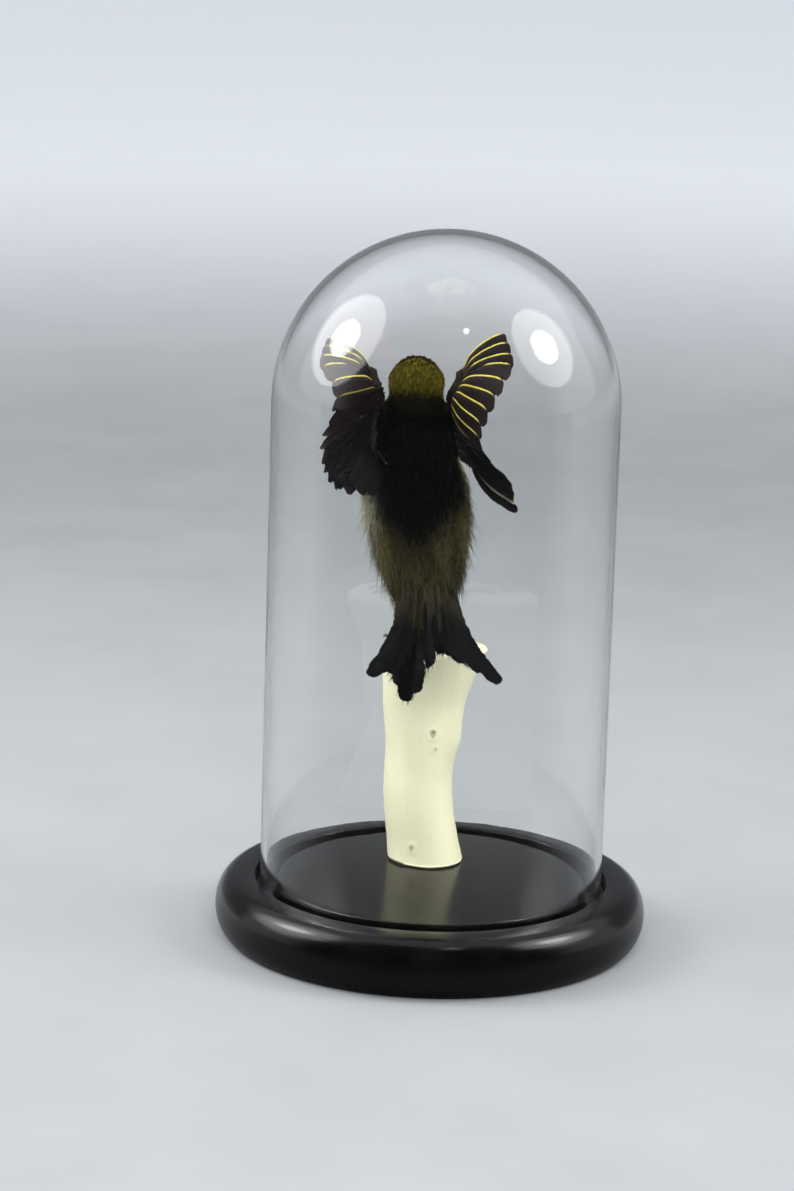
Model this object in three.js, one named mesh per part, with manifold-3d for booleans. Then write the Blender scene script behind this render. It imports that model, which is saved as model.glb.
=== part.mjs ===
// A red-billed leiothrix mounted with raised wings: the bird stands on a peeled branch stump,
// on a turned wooden base, under a loose glass dome.
// Millimetres, +Z up. The origin is the middle of the base's underside, and the bird faces +Y.
import * as THREE from "three";
import { mergeVertices } from "three/addons/utils/BufferGeometryUtils.js";
import Module from "manifold-3d";

const wasm = await Module();
wasm.setup();

// ---- driving dimensions ----
const BASE_RADIUS = 75.3;
const BASE_HEIGHT = 21;
const GROOVE_INNER_RADIUS = 53.2;
const GROOVE_OUTER_RADIUS = 61.2;
const GROOVE_DEPTH = 5;
const DOME_RADIUS = 60;
const DOME_WALL = 2;
const DOME_TOP = 249; // above the floor
const REST_GAP = 0.1; // between a piece and what it stands on
const PART_GAP = 0.3; // between pieces that are cut to each other
const STUMP_TOP = 99.5;
const FEATHER_THICKNESS = 0.6;
const BODY_MIDDLE_X = -10.3; // the bird stands a little left of the base's axis
const EYE_RADIUS = 2.7;

const SKINS = {
  ebonised: { color: 0x0c0b0c, roughness: 0.35, metalness: 0 },
  glass: { color: 0xe8eef0, roughness: 0.05, metalness: 0, transparent: true, opacity: 0.25 },
  peeledWood: { color: 0xe9dfb6, roughness: 0.7, metalness: 0 },
  crown: { color: 0x4a4512, roughness: 0.85, metalness: 0 },
  mantle: { color: 0x14130f, roughness: 0.85, metalness: 0 },
  flightFeather: { color: 0x171114, roughness: 0.6, metalness: 0 },
  bill: { color: 0xb3321c, roughness: 0.4, metalness: 0 },
  eye: { color: 0x140a06, roughness: 0.05, metalness: 0 },
  leg: { color: 0xa98a5a, roughness: 0.6, metalness: 0 },
  claw: { color: 0x5a4630, roughness: 0.4, metalness: 0 },
};

const bird = new THREE.Group();
const mount = new THREE.Group();
const part = new THREE.Group();
part.add(bird, mount);

const v3 = (x, y, z) => new THREE.Vector3(x, y, z);
// The bird is built on its right side (+X), and this carries a point to its left side.
const mirrored = (p) => v3(2 * BODY_MIDDLE_X - p.x, p.y, p.z);
const smooth = (t) => THREE.MathUtils.smoothstep(t, 0, 1);

// ---- solids ----

// A closed geometry as a manifold-3d solid with its faces pointing out.
function solidOf(geometry) {
  const bare = geometry.index ? geometry.clone() : geometry;
  bare.deleteAttribute("normal");
  bare.deleteAttribute("uv");
  const merged = mergeVertices(bare, 1e-3);
  const vertProperties = new Float32Array(merged.attributes.position.array);
  const triVerts = new Uint32Array(merged.index.array);
  const made = new wasm.Manifold(new wasm.Mesh({ numProp: 3, vertProperties, triVerts }));
  if (made.volume() > 0) return made;
  for (let i = 0; i < triVerts.length; i += 3)
    [triVerts[i + 1], triVerts[i + 2]] = [triVerts[i + 2], triVerts[i + 1]];
  return new wasm.Manifold(new wasm.Mesh({ numProp: 3, vertProperties, triVerts }));
}

// The biggest of the bodies that a cut left, with edges under the tolerance taken away.
function largest(solid, tolerance = 0.05) {
  const biggest = (one) => one.decompose().sort((a, b) => b.volume() - a.volume())[0];
  return biggest(biggest(solid).simplify(tolerance));
}

const joined = (solids) => solids.reduce((whole, one) => whole.add(one));
const cut = (solid, ...tools) => largest(tools.reduce((left, tool) => left.subtract(tool), solid));

function addMesh(group, name, solid, skin) {
  const { vertProperties, triVerts } = solid.getMesh();
  const geometry = new THREE.BufferGeometry();
  geometry.setAttribute("position", new THREE.BufferAttribute(new Float32Array(vertProperties), 3));
  geometry.setIndex(new THREE.BufferAttribute(new Uint32Array(triVerts), 1));
  geometry.computeVertexNormals();
  const mesh = new THREE.Mesh(geometry, new THREE.MeshStandardMaterial(skin));
  mesh.name = name;
  group.add(mesh);
}

// A rounded body along a spine: a sphere whose axis follows the spine's points, with a half width
// (along side) and a half depth (across side) at each. grow swells it by that much all round.
function roundedBody({ spine, half, side = v3(1, 0, 0), sectors = 20, rings = 12, grow = 0 }) {
  const ends = spine.map((p) => p.clone());
  const reach = (end, next) => end.clone().sub(next).setLength(grow);
  ends[0].add(reach(spine[0], spine[1]));
  ends.at(-1).add(reach(spine.at(-1), spine.at(-2)));
  const centre = new THREE.CatmullRomCurve3(ends);
  const sizes = new THREE.CatmullRomCurve3(half.map(([w, d]) => v3(w + grow, d + grow, 0)));
  const ball = new THREE.SphereGeometry(1, sectors, rings);
  const at = ball.attributes.position;
  for (let i = 0; i < at.count; i++) {
    const t = (at.getY(i) + 1) / 2;
    const along = centre.getTangent(t);
    const across = side.clone().addScaledVector(along, -side.dot(along)).normalize();
    const up = across.clone().cross(along);
    const size = sizes.getPoint(t);
    const p = centre.getPoint(t);
    p.addScaledVector(across, at.getX(i) * size.x).addScaledVector(up, at.getZ(i) * size.y);
    at.setXYZ(i, p.x, p.y, p.z);
  }
  return solidOf(ball);
}

// A bar of round section along points, as thick at each as its radius there.
function roundedBar(points, radii, { sectors = 6, rings = 5, grow = 0 } = {}) {
  const direction = points.at(-1).clone().sub(points[0]);
  const side = Math.abs(direction.x) > Math.abs(direction.y) ? v3(0, 1, 0) : v3(1, 0, 0);
  return roundedBody({ spine: points, half: radii.map((r) => [r, r]), side, sectors, rings, grow });
}

// ---- mount ----

// The base's outline: a flat underside, a bulging edge, a rim, the groove for the dome and a raised middle.
function baseSolid() {
  const bulge = new THREE.CubicBezierCurve(
    new THREE.Vector2(BASE_RADIUS - 5.5, 0),
    new THREE.Vector2(BASE_RADIUS + 1.6, 2.5),
    new THREE.Vector2(BASE_RADIUS + 2.4, BASE_HEIGHT - 2.5),
    new THREE.Vector2(BASE_RADIUS - 6.5, BASE_HEIGHT),
  );
  const floor = BASE_HEIGHT - GROOVE_DEPTH;
  const outline = [
    new THREE.Vector2(0, 0),
    ...bulge.getPoints(5),
    new THREE.Vector2(GROOVE_OUTER_RADIUS, BASE_HEIGHT),
    new THREE.Vector2(GROOVE_OUTER_RADIUS, floor),
    new THREE.Vector2(GROOVE_INNER_RADIUS, floor),
    new THREE.Vector2(GROOVE_INNER_RADIUS, BASE_HEIGHT),
    new THREE.Vector2(0, BASE_HEIGHT),
  ];
  return solidOf(new THREE.LatheGeometry(outline, 36).rotateX(Math.PI / 2));
}

// The dome: a straight glass wall under half a sphere, open below.
function domeSolid() {
  const foot = BASE_HEIGHT - GROOVE_DEPTH + REST_GAP;
  const centre = DOME_TOP - DOME_RADIUS;
  const arc = (radius, from, to) =>
    new THREE.EllipseCurve(0, centre, radius, radius, from, to, from > to).getPoints(5);
  const inner = DOME_RADIUS - DOME_WALL;
  const outline = [
    new THREE.Vector2(inner, foot),
    new THREE.Vector2(DOME_RADIUS, foot),
    ...arc(DOME_RADIUS, 0, Math.PI / 2),
    ...arc(inner, Math.PI / 2, 0),
    new THREE.Vector2(inner, foot),
  ];
  for (const p of outline) p.x = Math.max(p.x, 0);
  const pole = outline.findIndex((p) => p.x < 1e-6);
  outline[pole].x = 0;
  outline[pole + 1].x = 0;
  return solidOf(new THREE.LatheGeometry(outline, 30).rotateX(Math.PI / 2));
}

// The stump: centre x, centre y, half width and half depth at each height above the base.
const STUMP_SECTIONS = [
  { z: 0, x: -1.6, y: 21.8, w: 13.7, d: 13.4 },
  { z: 7, x: -3.0, y: 21.5, w: 13.0, d: 12.8 },
  { z: 16, x: -4.6, y: 21.0, w: 12.6, d: 12.4 },
  { z: 30, x: -5.3, y: 20.0, w: 12.4, d: 12.2 },
  { z: 40, x: -5.2, y: 19.5, w: 12.6, d: 12.4 },
  { z: 50, x: -4.4, y: 19.2, w: 14.0, d: 12.8 },
  { z: 60, x: -4.2, y: 19.0, w: 15.1, d: 13.2 },
  { z: 69, x: -3.2, y: 18.8, w: 16.7, d: 13.8 },
  { z: 78.4, x: -0.9, y: 18.6, w: 19.2, d: 14.4 },
];

// The stump leans and swells as a branch does. Its foot and its top are cut level.
function stumpSolid() {
  const rows = 10;
  const sectors = 16;
  const reach = STUMP_SECTIONS.at(-1).z;
  const middle = new THREE.CatmullRomCurve3(STUMP_SECTIONS.map((s) => v3(s.x, s.y, s.z)));
  const sizes = new THREE.CatmullRomCurve3(STUMP_SECTIONS.map((s) => v3(s.w, s.d, s.z)));
  const post = new THREE.CylinderGeometry(1, 1, 1, sectors, rows);
  const at = post.attributes.position;
  const foot = BASE_HEIGHT + REST_GAP;
  for (let i = 0; i < at.count; i++) {
    const t = at.getY(i) + 0.5;
    const c = middle.getPoint(t);
    const size = sizes.getPoint(t);
    // The stem is not quite round, and its flats wind a little as they rise.
    const angle = Math.atan2(at.getX(i), at.getZ(i));
    const round = 1 + 0.03 * Math.sin(2 * angle + 1) + 0.02 * Math.sin(3 * angle + 4 * t);
    const z = foot + (c.z / reach) * (STUMP_TOP - foot);
    at.setXYZ(i, c.x + at.getX(i) * size.x * round, c.y - at.getZ(i) * size.y * round, z);
  }
  return solidOf(post);
}

addMesh(mount, "base", baseSolid(), SKINS.ebonised);
addMesh(mount, "dome", domeSolid(), SKINS.glass);
const stump = stumpSolid();
addMesh(mount, "stump", stump, SKINS.peeledWood);

// ---- head, neck and trunk ----

const trunkSolid = (grow = 0) =>
  roundedBody({
    spine: [
      v3(-4.8, -6, 112),
      v3(-5.6, -0.5, 126),
      v3(-7.4, 6, 142),
      v3(-9.6, 11, 157),
      v3(-10.2, 15, 171),
      v3(-10.3, 18.5, 184.5),
    ],
    half: [[11.5, 7], [14.4, 10.5], [16.8, 15.5], [18.2, 17], [16.4, 15.2], [12, 12]],
    sectors: 20,
    rings: 12,
    grow,
  });

const headSolid = (grow = 0) =>
  roundedBody({
    spine: [v3(-10.4, 12.6, 189.4), v3(-10.4, 19, 191.2), v3(-10.4, 26, 191.4), v3(-10.4, 36, 190)],
    half: [[9.4, 9.4], [10.5, 10.7], [10.1, 10.1], [6.6, 6.4]],
    sectors: 16,
    rings: 10,
    grow,
  });

const neckSolid = (grow = 0) =>
  roundedBody({
    spine: [v3(-10.1, 14, 168), v3(-10.3, 18, 180), v3(-10.4, 20.5, 193)],
    half: [[14, 14], [13, 13.2], [10.8, 11.4]],
    sectors: 14,
    rings: 6,
    grow,
  });

const EYE = v3(-2.7, 27.4, 193);
const EYES = { right: EYE, left: mirrored(EYE) };

const eyeSolid = (centre, grow = 0) => {
  const ball = new THREE.SphereGeometry(EYE_RADIUS + grow, 10, 7);
  return solidOf(ball.translate(centre.x, centre.y, centre.z));
};

// The upper half of the bill bends down to the tip, and the lower half is a little shorter.
const billSolid = (upper, grow = 0) => {
  const x = BODY_MIDDLE_X - 0.1;
  const sections = upper
    ? {
        ys: [31, 38, 43, 46.5],
        zs: [191.9, 191.2, 190, 188.7],
        half: [[3.1, 2.1], [2.6, 1.8], [1.6, 1.15], [0.5, 0.45]],
      }
    : {
        ys: [31, 38, 42.5, 45.4],
        zs: [188.9, 188.7, 188.4, 188.3],
        half: [[2.9, 1.8], [2.3, 1.5], [1.3, 0.95], [0.4, 0.4]],
      };
  return roundedBody({
    spine: sections.ys.map((y, i) => v3(x, y, sections.zs[i])),
    half: sections.half,
    sectors: 10,
    rings: 7,
    grow,
  });
};

const cheeks = [eyeSolid(EYES.right, PART_GAP), eyeSolid(EYES.left, PART_GAP)];
const gape = [billSolid(true, PART_GAP), billSolid(false, PART_GAP)];
addMesh(bird, "head", cut(headSolid(), ...cheeks, ...gape), SKINS.crown);
addMesh(bird, "neck", cut(neckSolid(), trunkSolid(PART_GAP), headSolid(PART_GAP)), SKINS.mantle);
addMesh(bird, "trunk", cut(trunkSolid(), headSolid(PART_GAP)), SKINS.mantle);
addMesh(bird, "bill_upper", billSolid(true), SKINS.bill);
addMesh(bird, "bill_lower", cut(billSolid(false), billSolid(true, PART_GAP)), SKINS.bill);
for (const side of ["left", "right"]) {
  addMesh(bird, `eye_${side}`, eyeSolid(EYES[side]), SKINS.eye);
}

const bodyRoom = [trunkSolid(PART_GAP), neckSolid(PART_GAP), headSolid(PART_GAP)];

// ---- flight feathers ----

// A point on a curve at a share t of it, carried straight on past either end.
function pointAlong(curve, t) {
  const step = 0.04;
  const near = THREE.MathUtils.clamp(t, 0, 1);
  const [before, after] = [Math.max(near - step, 0), Math.min(near + step, 1)];
  const slope = curve.getPoint(after).sub(curve.getPoint(before)).divideScalar(after - before);
  return { point: curve.getPoint(near).addScaledVector(slope, t - near), slope };
}

// A fan of overlapping flight feathers as one closed sheet. The quills stand on the curve roots and
// the vanes end on the curve tips. Each feather's leading vane stands step above the one before it,
// its round tip ends in a notch against its neighbours, and the middle of every feather rises by
// camber. upper is 1 or -1, for the face that is the feathers' upper side. sweep carries the tips
// aside, and thickness is the sheet's at the quills and from there the feathers' own.
function fanSolid({ roots, tips, count, upper, camber, step, notch, sweep = () => 0, thickness, grow = 0 }) {
  const perFeather = 3;
  const rows = [0, 0.28, 0.56, 0.84, 1];
  const columns = count * perFeather;
  const box = new THREE.BoxGeometry(2, 1, 2, columns, rows.length - 1, 1).translate(0, 0.5, 0);
  const at = box.attributes.position;
  for (let i = 0; i < at.count; i++) {
    const column = Math.round(((at.getX(i) + 1) / 2) * columns);
    const inFeather = (column % perFeather) / perFeather;
    const t = ((column / columns) * count - 0.5) / (count - 1);
    const row = rows[Math.round(at.getY(i) * (rows.length - 1))];
    const s = row * (1 - (row > 0.9 ? notch * (2 * inFeather - 1) ** 2 : 0));
    const root = pointAlong(roots, t);
    const tip = pointAlong(tips, t);
    const along = tip.point.clone().sub(root.point);
    const length = along.length();
    along.normalize();
    const aside = root.slope.clone().add(tip.slope);
    aside.addScaledVector(along, -aside.dot(along)).normalize();
    const normal = along.clone().cross(aside).multiplyScalar(upper);
    const half = THREE.MathUtils.lerp(thickness, FEATHER_THICKNESS, smooth(row / 0.45)) / 2 + grow;
    const rise = camber * Math.sin(Math.PI * s) + step * (0.5 - inFeather) * smooth(row / 0.5);
    const p = root.point.addScaledVector(along, s * length + (2 * at.getY(i) - 1) * grow);
    p.addScaledVector(aside, at.getX(i) * grow + sweep(t) * (s ** 3 - s));
    p.addScaledVector(normal, at.getZ(i) * half + rise);
    at.setXYZ(i, p.x, p.y, p.z);
  }
  return solidOf(box);
}

// The stretch of a curve between two shares of it, as a curve of its own.
function stretch(curve, from, to, points = 9) {
  const share = (i) => from + ((to - from) * i) / (points - 1);
  return new THREE.CatmullRomCurve3(Array.from({ length: points }, (_, i) => curve.getPoint(share(i))));
}

// ---- wings ----

const SHOULDER = v3(1.5, 19, 176);
const ELBOW = v3(5.8, 8, 172.5);
const WRIST = v3(1.9, 23.5, 187);
const HAND_TIP = v3(4.8, 14.5, 195);
const PRIMARIES = 9;
const SECONDARIES = 7;

// The feather tips from the outermost primary to the innermost tertial, on each side.
const WING_TIPS = {
  right: [
    v3(18, -22, 217.4), v3(20.5, -33, 211.2), v3(17.2, -35, 203), v3(13.4, -32, 193.8),
    v3(10.8, -26.5, 184.2), v3(14.6, -21, 174.6), v3(21.6, -17, 167), v3(24.3, -12, 157.7),
  ],
  left: [
    v3(-39.8, -22, 213.8), v3(-41.4, -32, 208.6), v3(-37, -35, 200.6), v3(-37, -32, 191.6),
    v3(-40, -26.5, 182.6), v3(-39.9, -22, 173), v3(-36, -17, 165), v3(-26.4, -12, 162.4),
  ],
};

// The quills stand along the hand to the wrist, then along the forearm to the elbow.
const QUILLS = [HAND_TIP, v3(3.6, 19, 191.5), WRIST, v3(3, 19.5, 182.5), v3(4.4, 14, 177.5), ELBOW];
const WRIST_SHARE = 2 / (QUILLS.length - 1);
const PRIMARY_SHARE = 0.6;
const WING_FEATHERS = { camber: 3, step: 1.2, notch: 0.07, thickness: 2 };

function armSolid(toSide, grow = 0) {
  const bone = (points, radii) => roundedBar(points.map(toSide), radii, { rings: 5, grow });
  return joined([
    bone([SHOULDER, v3(4.8, 13.5, 173), ELBOW], [3.6, 3.4, 2.8]),
    bone([ELBOW, v3(3.8, 16, 180), WRIST], [2.8, 2.6, 2.2]),
    bone([WRIST, v3(3.6, 19, 191.5), HAND_TIP], [2.2, 1.9, 1.2]),
  ]);
}

function addWing(side) {
  const toSide = side === "right" ? (p) => p.clone() : mirrored;
  const upper = side === "right" ? -1 : 1;
  const roots = new THREE.CatmullRomCurve3(QUILLS.map(toSide));
  const tips = new THREE.CatmullRomCurve3(WING_TIPS[side]);
  const primaries = (grow = 0) =>
    fanSolid({
      ...WING_FEATHERS,
      roots: stretch(roots, 0, WRIST_SHARE),
      tips: stretch(tips, 0, PRIMARY_SHARE),
      count: PRIMARIES,
      upper,
      grow,
    });
  const secondaries = fanSolid({
    ...WING_FEATHERS,
    roots: stretch(roots, WRIST_SHARE + 0.05, 1),
    tips: stretch(tips, PRIMARY_SHARE + 0.07, 1),
    count: SECONDARIES,
    upper,
  });
  const armRoom = armSolid(toSide, PART_GAP);
  addMesh(bird, `wing_${side}_arm`, cut(armSolid(toSide), ...bodyRoom), SKINS.mantle);
  addMesh(bird, `wing_${side}_primaries`, cut(primaries(), armRoom, ...bodyRoom), SKINS.flightFeather);
  const inner = cut(secondaries, armRoom, ...bodyRoom, primaries(PART_GAP));
  addMesh(bird, `wing_${side}_secondaries`, inner, SKINS.flightFeather);
}

addWing("left");
addWing("right");

// ---- tail ----

const TAIL_ROOT = { from: v3(-11, -1.5, 132), to: v3(0, -1.5, 132) };
const TAIL_FEATHERS = 12;

// The tips from the outer feather on the left to the outer one on the right: a forked tail
// whose two outer feathers curl away.
const TAIL_TIPS = [
  v3(-22.4, -30, 103.2), v3(-16.2, -33.5, 103), v3(-9.8, -37, 94.2),
  v3(0, -34, 110), v3(7.2, -32.5, 107.6), v3(19.2, -30, 101.6),
];

// The outer feathers' tips curl away by this much.
const TAIL_CURL = 8;

function tailSolid() {
  const curl = (t) => (TAIL_CURL * Math.sign(t - 0.5) * Math.max(0, Math.abs(t - 0.5) - 0.3)) / 0.2;
  return fanSolid({
    roots: new THREE.LineCurve3(TAIL_ROOT.from, TAIL_ROOT.to),
    tips: new THREE.CatmullRomCurve3(TAIL_TIPS),
    count: TAIL_FEATHERS,
    upper: 1,
    camber: 1.5,
    step: 0.7,
    notch: 0.03,
    sweep: curl,
    thickness: 6,
  });
}

addMesh(bird, "tail", cut(tailSolid(), ...bodyRoom), SKINS.flightFeather);

// ---- legs ----

const LEG_MIDDLE_X = -5.8;
const STANCE = 7.8;
const TOE_RADIUS = 0.95;
const CLAW_RADIUS = 0.5;

// Each toe: its angle from straight ahead, how long it is and how long its claw is.
const TOES = [
  { turn: 0.5, length: 8.5, claw: 3 },
  { turn: 0, length: 11, claw: 3.2 },
  { turn: -0.5, length: 8.5, claw: 3 },
  { turn: Math.PI, length: 7, claw: 4.4 },
];

function addLeg(side, sign) {
  const x = LEG_MIDDLE_X + sign * STANCE;
  const floor = STUMP_TOP + REST_GAP + TOE_RADIUS + 0.05;
  const sole = v3(x, 15.5, floor + 0.35);
  const thigh = (grow) =>
    roundedBody({
      spine: [v3(x - 0.4 * sign, 13, 139), v3(x + 0.3 * sign, 12, 128), v3(x, 7.5, 117)],
      half: [[5.6, 6.4], [4.8, 5.4], [2.7, 3]],
      sectors: 14,
      rings: 9,
      grow,
    });
  const toePoint = (toe, reach, lift = 0) =>
    v3(x + Math.sin(toe.turn) * reach, sole.y + Math.cos(toe.turn) * reach, floor + lift);
  const foot = (grow) =>
    joined(
      TOES.map((toe) =>
        roundedBar(
          [toePoint(toe, -1.8, 0.5), toePoint(toe, 0.35 * toe.length, 0.6), toePoint(toe, toe.length)],
          [TOE_RADIUS + 0.3, TOE_RADIUS + 0.05, TOE_RADIUS - 0.15],
          { rings: 4, grow },
        ),
      ),
    );
  const shank = roundedBar(
    [v3(x, 6.5, 121), v3(x, 11, 111), v3(x, sole.y - 0.3, sole.z + 0.4)],
    [1.5, 1.1, 1.2],
    { sectors: 8 },
  );
  addMesh(bird, `thigh_${side}`, cut(thigh(0), trunkSolid(PART_GAP)), SKINS.mantle);
  const bareShank = cut(shank, thigh(PART_GAP), trunkSolid(PART_GAP), foot(PART_GAP));
  addMesh(bird, `shank_${side}`, bareShank, SKINS.leg);
  addMesh(bird, `foot_${side}`, foot(0), SKINS.leg);
  TOES.forEach((toe, i) => {
    const root = toePoint(toe, toe.length - 0.4);
    const bend = toePoint(toe, toe.length + 0.6 * toe.claw, 0.35);
    const claw = roundedBar(
      [root, bend, toePoint(toe, toe.length + toe.claw, -0.4)],
      [CLAW_RADIUS + 0.15, CLAW_RADIUS, CLAW_RADIUS - 0.2],
      { sectors: 5, rings: 3 },
    );
    addMesh(bird, `claw_${side}_${i + 1}`, cut(claw, foot(PART_GAP)), SKINS.claw);
  });
}

addLeg("left", -1);
addLeg("right", 1);

export default part;
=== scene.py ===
"""The looks of a small songbird mounted with raised wings on a stump, under a glass dome.

Sizes are in millimetres where a name ends in _mm or a value passes through mm(), and in metres
elsewhere. The bird faces +Y and stands on the base's middle, +Z is up.
"""

import logging
import math
from collections.abc import Callable, Sequence
from dataclasses import dataclass, field
from enum import Enum
from typing import ClassVar

import bmesh
import bpy
import numpy as np
from mathutils import Matrix, Vector
from mathutils.bvhtree import BVHTree


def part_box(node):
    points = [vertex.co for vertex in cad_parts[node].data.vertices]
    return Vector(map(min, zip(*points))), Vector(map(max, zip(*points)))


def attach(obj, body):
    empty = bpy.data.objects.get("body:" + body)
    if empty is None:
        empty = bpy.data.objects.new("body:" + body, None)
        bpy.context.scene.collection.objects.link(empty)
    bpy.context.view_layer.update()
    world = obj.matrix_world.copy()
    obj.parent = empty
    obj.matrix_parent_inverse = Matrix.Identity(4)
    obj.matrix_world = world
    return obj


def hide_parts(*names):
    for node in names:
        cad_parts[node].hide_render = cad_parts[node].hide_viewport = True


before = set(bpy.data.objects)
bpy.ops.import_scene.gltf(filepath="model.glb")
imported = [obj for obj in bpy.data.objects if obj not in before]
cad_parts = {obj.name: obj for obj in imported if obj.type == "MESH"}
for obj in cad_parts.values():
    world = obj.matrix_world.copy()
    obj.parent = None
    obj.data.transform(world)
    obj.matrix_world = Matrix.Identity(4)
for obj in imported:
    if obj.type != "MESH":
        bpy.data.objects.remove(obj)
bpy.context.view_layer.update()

log = logging.getLogger("mounted_bird")

MM = 0.001
MOUNT_BODY = "mount"
DOME_BODY = "dome"
BODY_MIDDLE_MM = -10.3
PATCH = 0.003  # a small feather's side on the baking map
HALF_THICK = 0.07 * MM  # half of the thickness of a loose barb or a tail covert
FACE_FLOOR = 186 * MM  # the height over which the face's feathers are short

Rgb = tuple[float, float, float]
Place = Callable[[Vector], Vector]


def mm(x: float, y: float, z: float) -> np.ndarray:
    """A point given in millimetres, in metres."""
    return np.array((x, y, z), float) * MM


def unit(vectors: np.ndarray) -> np.ndarray:
    """The same directions with a length of one."""
    return vectors / np.maximum(np.linalg.norm(vectors, axis=-1, keepdims=True), 1e-12)


def smooth(values: np.ndarray, low: float, high: float) -> np.ndarray:
    """Zero below low, one above high, and a smooth rise between. low may be the larger."""
    share = np.clip((np.asarray(values, float) - low) / (high - low), 0, 1)
    return share * share * (3 - 2 * share)


def blend(first: np.ndarray, second: np.ndarray, share: np.ndarray) -> np.ndarray:
    """Colours or points part of the way from first to second."""
    share = np.asarray(share, float)[..., None]
    return np.asarray(first, float) * (1 - share) + np.asarray(second, float) * share


@dataclass(frozen=True)
class Curve:
    """A smooth curve through points, read at shares of its length from 0 to 1."""

    points: np.ndarray

    def at(self, shares: np.ndarray) -> np.ndarray:
        """Points on the curve.

        Args:
            shares: Places along the curve, which run straight on past either end.

        Returns:
            One point for each share.
        """
        shares = np.atleast_1d(np.asarray(shares, float))
        inside = np.clip(shares, 0, 1)
        return self.at_inside(inside) + self.slope(inside) * (shares - inside)[:, None]

    def slope(self, shares: np.ndarray) -> np.ndarray:
        """The curve's run at shares of it, in metres for the whole curve."""
        step = 0.02
        shares = np.atleast_1d(np.asarray(shares, float))
        low, high = np.clip(shares - step, 0, 1), np.clip(shares + step, 0, 1)
        if not len(shares):
            return np.zeros((0, 3))
        ends = self.at_inside(np.concatenate([low, high]))
        return (ends[len(low):] - ends[: len(low)]) / (high - low)[:, None]

    def at_inside(self, shares: np.ndarray) -> np.ndarray:
        """Points at shares that all lie between 0 and 1."""
        knots = np.asarray(self.points, float)
        knots = np.vstack([2 * knots[0] - knots[1], knots, 2 * knots[-1] - knots[-2]])
        spans = len(knots) - 3
        span = np.minimum((shares * spans).astype(int), spans - 1)
        t = (shares * spans - span)[:, None]
        a, b, c, d = (knots[span + k] for k in range(4))
        bend, twist = 2 * a - 5 * b + 4 * c - d, 3 * b - a - 3 * c + d
        return 0.5 * (2 * b + (c - a) * t + bend * t**2 + twist * t**3)


def mirrored(points: np.ndarray) -> np.ndarray:
    """Points of the bird's right side, carried to its left."""
    flipped = np.array(points, float)
    flipped[..., 0] = 2 * BODY_MIDDLE_MM * MM - flipped[..., 0]
    return flipped


# ---------------------------------------------------------------- shader nodes


class Nodes:
    """Adds and links the nodes of one shader tree."""

    def __init__(self, tree: bpy.types.NodeTree) -> None:
        """Starts with the tree empty."""
        self.tree = tree
        tree.nodes.clear()

    def add(self, kind: str, inputs: dict | None = None, **settings: object) -> bpy.types.Node:
        """Adds a node.

        Args:
            kind: The node's type name.
            inputs: What each input gets: a socket to link from, or a plain value.
            settings: Properties to set on the node itself.

        Returns:
            The new node.
        """
        node = self.tree.nodes.new(kind)
        for name, value in settings.items():
            setattr(node, name, value)
        for name, value in (inputs or {}).items():
            if isinstance(value, bpy.types.NodeSocket):
                self.tree.links.new(value, node.inputs[name])
            else:
                node.inputs[name].default_value = value
        return node

    def maths(self, operation: str, first: object, second: object = 0.0, third: object = 0.5,
              **settings: object) -> bpy.types.NodeSocket:
        """The result of a Math node on values or sockets."""
        inputs = {0: first, 1: second, 2: third}
        return self.add("ShaderNodeMath", inputs, operation=operation, **settings).outputs[0]

    def vector(self, operation: str, first: object, second: object = (0.0, 0.0, 0.0)) -> bpy.types.NodeSocket:
        """The result of a Vector Math node, which is a number for a length or a dot product."""
        node = self.add("ShaderNodeVectorMath", {0: first, 1: second}, operation=operation)
        return node.outputs["Value" if operation in ("LENGTH", "DOT_PRODUCT") else "Vector"]

    def parts(self, vector: bpy.types.NodeSocket) -> bpy.types.bpy_prop_collection:
        """The X, Y and Z of a vector."""
        return self.add("ShaderNodeSeparateXYZ", {0: vector}).outputs

    def ramp(self, value: bpy.types.NodeSocket, low: float, high: float) -> bpy.types.NodeSocket:
        """Zero below low and one above high, smoothly."""
        inputs = {"Value": value, "From Min": low, "From Max": high}
        return self.add("ShaderNodeMapRange", inputs, interpolation_type="SMOOTHSTEP").outputs["Result"]

    def mix(self, share: object, first: object, second: object) -> bpy.types.NodeSocket:
        """A colour part of the way from first to second. Plain colours are red, green and blue."""
        node = self.add("ShaderNodeMix", data_type="RGBA")
        for socket, value in ((node.inputs[0], share), (node.inputs[6], first), (node.inputs[7], second)):
            if isinstance(value, bpy.types.NodeSocket):
                self.tree.links.new(value, socket)
            elif isinstance(value, tuple):
                socket.default_value = (*value, 1)
            else:
                socket.default_value = value
        return node.outputs[2]


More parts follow.
